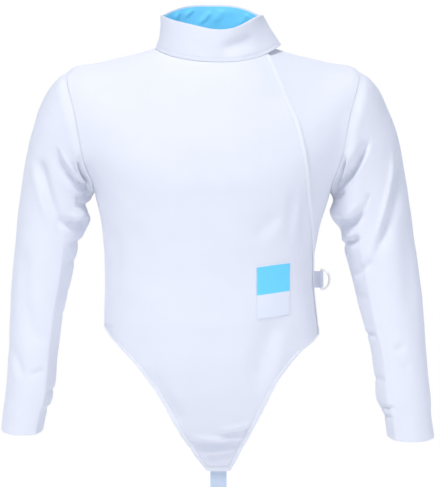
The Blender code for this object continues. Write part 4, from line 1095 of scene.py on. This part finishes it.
def on_front(x, z):
    """Points of the front's cloth below the armpits, given as they look from the front, and normals."""
    level = level_at(z)
    theta = theta_at(x, level)
    normals = torso_normals(theta, level)
    return shaped(front_point(theta, level), normals), normals


def patch_lines(length, count):
    """Distances along a side of the patch, close together at both ends."""
    edge = EDGE_STEPS[:9] - EDGE_STEPS[0]
    return np.concatenate([edge, np.linspace(0.010, length - 0.010, count), length - edge[::-1]])


patch_width = PATCH_X[1] - PATCH_X[0]
across, down = np.meshgrid(patch_lines(patch_width, 40), patch_lines(PATCH_HEIGHT, 82))
x = PATCH_X[0] + across
z = PATCH_TOP_Z - down + PATCH_RISE * across / patch_width
base, normals = on_front(x, z)
sides = across, patch_width - across, down, PATCH_HEIGHT - down
sunk = sum(np.exp(-(((side - PATCH_STITCH_IN) / PATCH_SINK_WIDTH) ** 2)) for side in sides) * PATCH_SINKS
outer = base + (PATCH_GAP + PATCH_CLOTH - np.minimum(sunk, PATCH_SINKS_MOST))[..., None] * normals
patch_panel = Panel(outer, normals, *sides, down, np.stack([across, -down], -1))
label = wall_of("patch_label", patch_panel, PATCH_CLOTH)
label_blue = woven("label_blue", (0.190, 0.740, 1.0), (0.165, 0.700, 0.990), 0.5, 0.3, 620, 0.00005)
label_white = woven("label_white", (0.845, 0.875, 0.955), (0.820, 0.855, 0.945), 0.5, 0.3, 620, 0.00005)
label.data.materials.append(label_white)
label.data.materials.append(label_blue)
share_down = (down[:-1, :-1] + down[1:, 1:]).ravel() / (2 * PATCH_HEIGHT)
in_blue = (share_down > PATCH_BLUE[0]) & (share_down < PATCH_BLUE[1])
blue_faces = np.zeros(len(label.data.polygons), np.int32)
blue_faces[: len(in_blue)] = in_blue
label.data.polygons.foreach_set("material_index", blue_faces)
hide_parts("patch")
rows = slice(4, -4)
ends = (rows, 4), (rows, -5), (4, rows), (-5, rows)
border = [(outer[end], normals[end]) for end in ends]
sewn("patch_stitches", border, thread=0.00018, length=0.0020)


# The elastic strap loop at the point, 25 mm wide: sewn behind the tip, down, round a tight fold and
# up again. It is pale grey-blue, with fine ribs along it.
WEBBING = 0.0014
WEBBING_WIDTH = 0.025
STRAP_TOP_Z = -0.604
STRAP_DROP = 0.0250
STRAP_FOLD = 0.0022
STRAP_HANG = 0.0012
STRAP_FREE = 0.0060
SELVEDGE = 0.955  # share of the half width where the webbing starts to thin, and by how much
SELVEDGE_THINS = 0.55


def along_path(path, width_axis, step, columns, rib, rib_pitch, bar=0.0, bar_pitch=1.0):
    """A strip of webbing along a smooth line, with rounded selvedges, and ribs and bars as cosines."""
    run = lengths_down(path[:, None])[:, 0]
    slopes = np.gradient(path, run, axis=0)
    wanted = np.linspace(0, run[-1], max(int(run[-1] / step), 12))
    below = np.clip(np.searchsorted(run, wanted) - 1, 0, len(run) - 2)
    gap = (run[below + 1] - run[below])[:, None]
    t = (wanted - run[below])[:, None] / gap
    middle = hermite(path[below], path[below + 1], slopes[below] * gap, slopes[below + 1] * gap, t)
    ahead = unit(np.gradient(middle, axis=0))
    thick = unit(np.cross(ahead, width_axis))
    share = np.linspace(-1, 1, columns)
    across = share * WEBBING_WIDTH / 2
    selvedge = 1 - SELVEDGE_THINS * smoothstep((np.abs(share) - SELVEDGE) / (1 - SELVEDGE))
    ribs = rib * (0.5 + 0.5 * np.cos(2 * HALF_TURN * across / rib_pitch)) * (np.abs(share) < 0.95)
    bars = bar * (0.5 + 0.5 * np.cos(2 * HALF_TURN * wanted / bar_pitch))
    half = thick[:, None] * ((WEBBING / 2 * selvedge - ribs) - bars[:, None])[..., None]
    centre = middle[:, None] + across[None, :, None] * np.asarray(width_axis)
    return centre + half, centre - half, np.stack(np.meshgrid(across, -wanted), -1)


def ribbed(name, colour, shade, scale):
    """Woven webbing: the cloth's weave at a scale of its own, and deeper."""
    return woven(name, colour, shade, 0.7, 0.35, scale, 0.00010)


tip_x = (POINT_HEM[-1].right_x + POINT_HEM[-1].left_x) / 2
tip_z = POINT_HEM[-1].z
behind = CLOTH + LAP_GAP + WEBBING / 2
seat_z = np.linspace(STRAP_TOP_Z, tip_z, 9)
seat, normals = on_front(np.full(9, tip_x), seat_z)
seat = seat - behind * normals
seat[:, 0] = tip_x
tip_y = seat[-1, 1] + STRAP_HANG
fold_z = tip_z - STRAP_DROP + STRAP_FOLD
front_leg = [(tip_x, tip_y, z) for z in np.linspace(tip_z - STRAP_FREE, fold_z, 4)]
turn = np.linspace(0, HALF_TURN, 13)[1:-1]
fold_y = tip_y + STRAP_FOLD
round_fold = [(tip_x, fold_y - STRAP_FOLD * np.cos(a), fold_z - STRAP_FOLD * np.sin(a)) for a in turn]
rear = [(x, y + 2 * STRAP_FOLD, z) for x, y, z in reversed([*seat.tolist(), *front_leg])]
strap_path = np.array([*seat.tolist(), *front_leg, *round_fold, *rear])
ribs_and_bars = 0.00012, 0.0021, 0.00046, 0.0066
strap = shell("strap_elastic", *along_path(strap_path, (1.0, 0.0, 0.0), 0.0009, 74, *ribs_and_bars))
strap.data.materials.append(ribbed("elastic_grey", (0.700, 0.790, 0.915), (0.660, 0.755, 0.885), 520))
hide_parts("strap_loop")


# The tab of white webbing that holds the ring: out from the left side seam, round the ring's bar
# and back, sewn through both of its layers.
RING_WIRE = 0.0016
TAB_Z = -0.341
TAB_REACH = 0.0140
TAB_EYE_GAP = 0.0004
TAB_LEG = 0.0009
seam_heights = TAB_Z + WEBBING_WIDTH * np.linspace(-0.5, 0.5, 5)
side_x = float(np.max(torso_point(QUARTER_TURN, level_at(seam_heights))[..., 0]))
bar_x = side_x + TAB_REACH
eye = RING_WIRE + WEBBING / 2 + TAB_EYE_GAP
turn = np.linspace(-0.6 * HALF_TURN, 0.6 * HALF_TURN, 25)
eye_path = [(bar_x + eye * np.cos(a), eye * np.sin(a), TAB_Z) for a in turn]
neck_x = bar_x - 2.1 * eye
root_x = side_x + PATCH_GAP
tab_path = [(root_x, -TAB_LEG, TAB_Z), ((root_x + neck_x) / 2, -TAB_LEG, TAB_Z), (neck_x, -TAB_LEG, TAB_Z)]
tab_path += eye_path
tab_path += [(x, -y, z) for x, y, z in reversed(tab_path[:3])]
tab_strip = along_path(np.array(tab_path), (0.0, 0.0, 1.0), 0.0005, 86, 0.00010, 0.0016)
tab = shell("tab_webbing", *tab_strip)
tab.data.materials.append(ribbed("webbing_white", (0.780, 0.805, 0.880), (0.745, 0.775, 0.855), 560))
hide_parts("ring_tab")


# The wire D-ring, bent from plated wire 3.2 mm thick. It swings in the tab's eye on its straight bar.
RING_HEIGHT = 0.0300
RING_REACH = 0.0125
RING_CORNER = 0.0020
WIRE_SIDES = 20
half = RING_HEIGHT / 2
bow = np.linspace(-QUARTER_TURN, QUARTER_TURN, 61)
bend = np.linspace(0, QUARTER_TURN, 11)[1:]
bow_x, bow_z = RING_CORNER + (RING_REACH - RING_CORNER) * np.cos(bow), half * np.sin(bow)
top_x, top_z = RING_CORNER * (1 - np.sin(bend)), half - RING_CORNER * (1 - np.cos(bend))
bar_z = np.linspace(half - RING_CORNER, RING_CORNER - half, 15)[1:-1]
wire_x = np.concatenate([bow_x, top_x, 0 * bar_z, top_x[::-1]])
wire_z = np.concatenate([bow_z, top_z, bar_z, -top_z[::-1]])
slope = np.stack([np.roll(wire_x, -1) - np.roll(wire_x, 1), np.roll(wire_z, -1) - np.roll(wire_z, 1)], -1)
slope = unit(slope)
turn = np.arange(WIRE_SIDES) * 2 * HALF_TURN / WIRE_SIDES
round_x = wire_x[:, None] + RING_WIRE * np.cos(turn) * slope[:, [1]]
round_z = wire_z[:, None] - RING_WIRE * np.cos(turn) * slope[:, [0]]
round_y = np.broadcast_to(RING_WIRE * np.sin(turn), round_x.shape)
ring_points = np.stack([bar_x + round_x, round_y, TAB_Z + round_z], -1)
count = len(wire_x)
number = np.arange(count * WIRE_SIDES).reshape(count, WIRE_SIDES)
ahead, beside = np.roll(number, -1, axis=0), np.roll(number, -1, axis=1)
ring_faces = np.stack([number, ahead, np.roll(ahead, -1, axis=1), beside], -1).reshape(-1, 4)
ring = meshed("d_ring_wire", ring_points, ring_faces)
plated, tree, shader = finish("plated_wire", {"Base Color": (0.80, 0.80, 0.80, 1), "Metallic": 1.0})
place = node(tree, "TexCoord")
worn = node(tree, "TexNoise", {"Scale": 900, "Detail": 3})
rough = node(tree, "MapRange", {"To Min": 0.16, "To Max": 0.34})
join(
    tree,
    (place, "Object", worn, "Vector"),
    (worn, "Fac", rough, "Value"),
    (rough, "Result", shader, "Roughness"),
)
ring.data.materials.append(plated)
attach(ring, "ring")
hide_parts("d_ring")


# The floor, the light and the camera. The jacket is seen from chest height through a long lens,
# in soft light that comes a little from the left, against white.
FLOOR_Z = -0.78
FLOOR_RADIUS = 1.6
turn = np.linspace(0, 2 * HALF_TURN, 97)[:-1]
floor_mesh = bpy.data.meshes.new("floor")
floor_rim = np.stack([FLOOR_RADIUS * np.cos(turn), FLOOR_RADIUS * np.sin(turn), 0 * turn + FLOOR_Z], -1)
floor_mesh.from_pydata(floor_rim, [], [tuple(range(len(turn)))])
floor = linked("floor", floor_mesh)
matt = {"Roughness": 1.0, "Base Color": (0.84, 0.84, 0.86, 1), "Emission Color": (1, 1, 1, 1)}
floor_paint, tree, shader = finish("floor_paint", matt)
place = node(tree, "TexCoord")
flat_place = node(tree, "VectorMath", {1: (1, 1, 0)}, operation="MULTIPLY")
reach = node(tree, "VectorMath", operation="LENGTH")
spread = {"From Min": 0.45, "From Max": 0.75, "To Min": 0.18, "To Max": 0.65}
glow = node(tree, "MapRange", spread, interpolation_type="SMOOTHSTEP")
join(
    tree,
    (place, "Object", flat_place, 0),
    (flat_place, "Vector", reach, 0),
    (reach, "Value", glow, "Value"),
    (glow, "Result", shader, "Emission Strength"),
)
floor_mesh.materials.append(floor_paint)

# The studio is seen as white, and lights the jacket with a soft dome.
SKY_LIGHT = 0.47
world = bpy.data.worlds.new("studio")
world.use_nodes = True
tree = world.node_tree
seen = tree.nodes["Background"]
seen.inputs["Color"].default_value = (1, 1, 1, 1)
dome = node(tree, "Background", {"Color": (0.68, 0.79, 1, 1), "Strength": SKY_LIGHT})
ray = node(tree, "LightPath")
either = node(tree, "MixShader")
mirrored = node(tree, "Math", operation="MAXIMUM")
join(
    tree,
    (ray, "Is Camera Ray", mirrored, 0),
    (ray, "Is Glossy Ray", mirrored, 1),
    (mirrored, "Value", either, "Fac"),
    (dome, "Background", either, 1),
    (seen, "Background", either, 2),
    (either, "Shader", tree.nodes["World Output"], "Surface"),
)
bpy.context.scene.world = world
bpy.context.scene.view_settings.view_transform = "Standard"

# A large soft box from the upper left, a weaker one from the right, and one behind
AIM = (0, 0, -0.25)
for name, place, size, watts in (
    ("key", (-0.85, -1.6, 2.3), 0.9, 56),
    ("fill", (1.6, -2.3, 1.0), 1.4, 14),
    ("back", (0.9, 2.6, 1.6), 1.4, 16),
):
    lamp = bpy.data.lights.new(name, "AREA")
    lamp.shape = "SQUARE"
    lamp.size = size
    lamp.energy = watts
    lamp.color = (1, 0.975, 0.95)
    box = linked(name, lamp)
    box.location = place
    aim = np.array(AIM) - np.array(place)
    tilt = np.arccos(-aim[2] / np.linalg.norm(aim))
    box.rotation_euler = (tilt, 0, np.arctan2(aim[1], aim[0]) - QUARTER_TURN)

camera = bpy.data.cameras.new("camera")
PHOTO_WIDTH, PHOTO_HEIGHT = 441, 497
MM_PER_PIXEL = 1.52
AXIS_PIXEL = (213.0, 219.5)  # where the lens's axis meets the picture
DISTANCE = 3.0
camera.sensor_width = 36
camera.lens = camera.sensor_width * DISTANCE / (PHOTO_HEIGHT * MM_PER_PIXEL / 1000)
camera.shift_x = (PHOTO_WIDTH / 2 - AXIS_PIXEL[0]) / PHOTO_HEIGHT
camera.shift_y = (AXIS_PIXEL[1] - PHOTO_HEIGHT / 2) / PHOTO_HEIGHT
camera_object = linked("camera", camera)
camera_object.location = (0, -DISTANCE, AIM[2])
camera_object.rotation_euler = (QUARTER_TURN, 0, 0)
bpy.context.scene.camera = camera_object
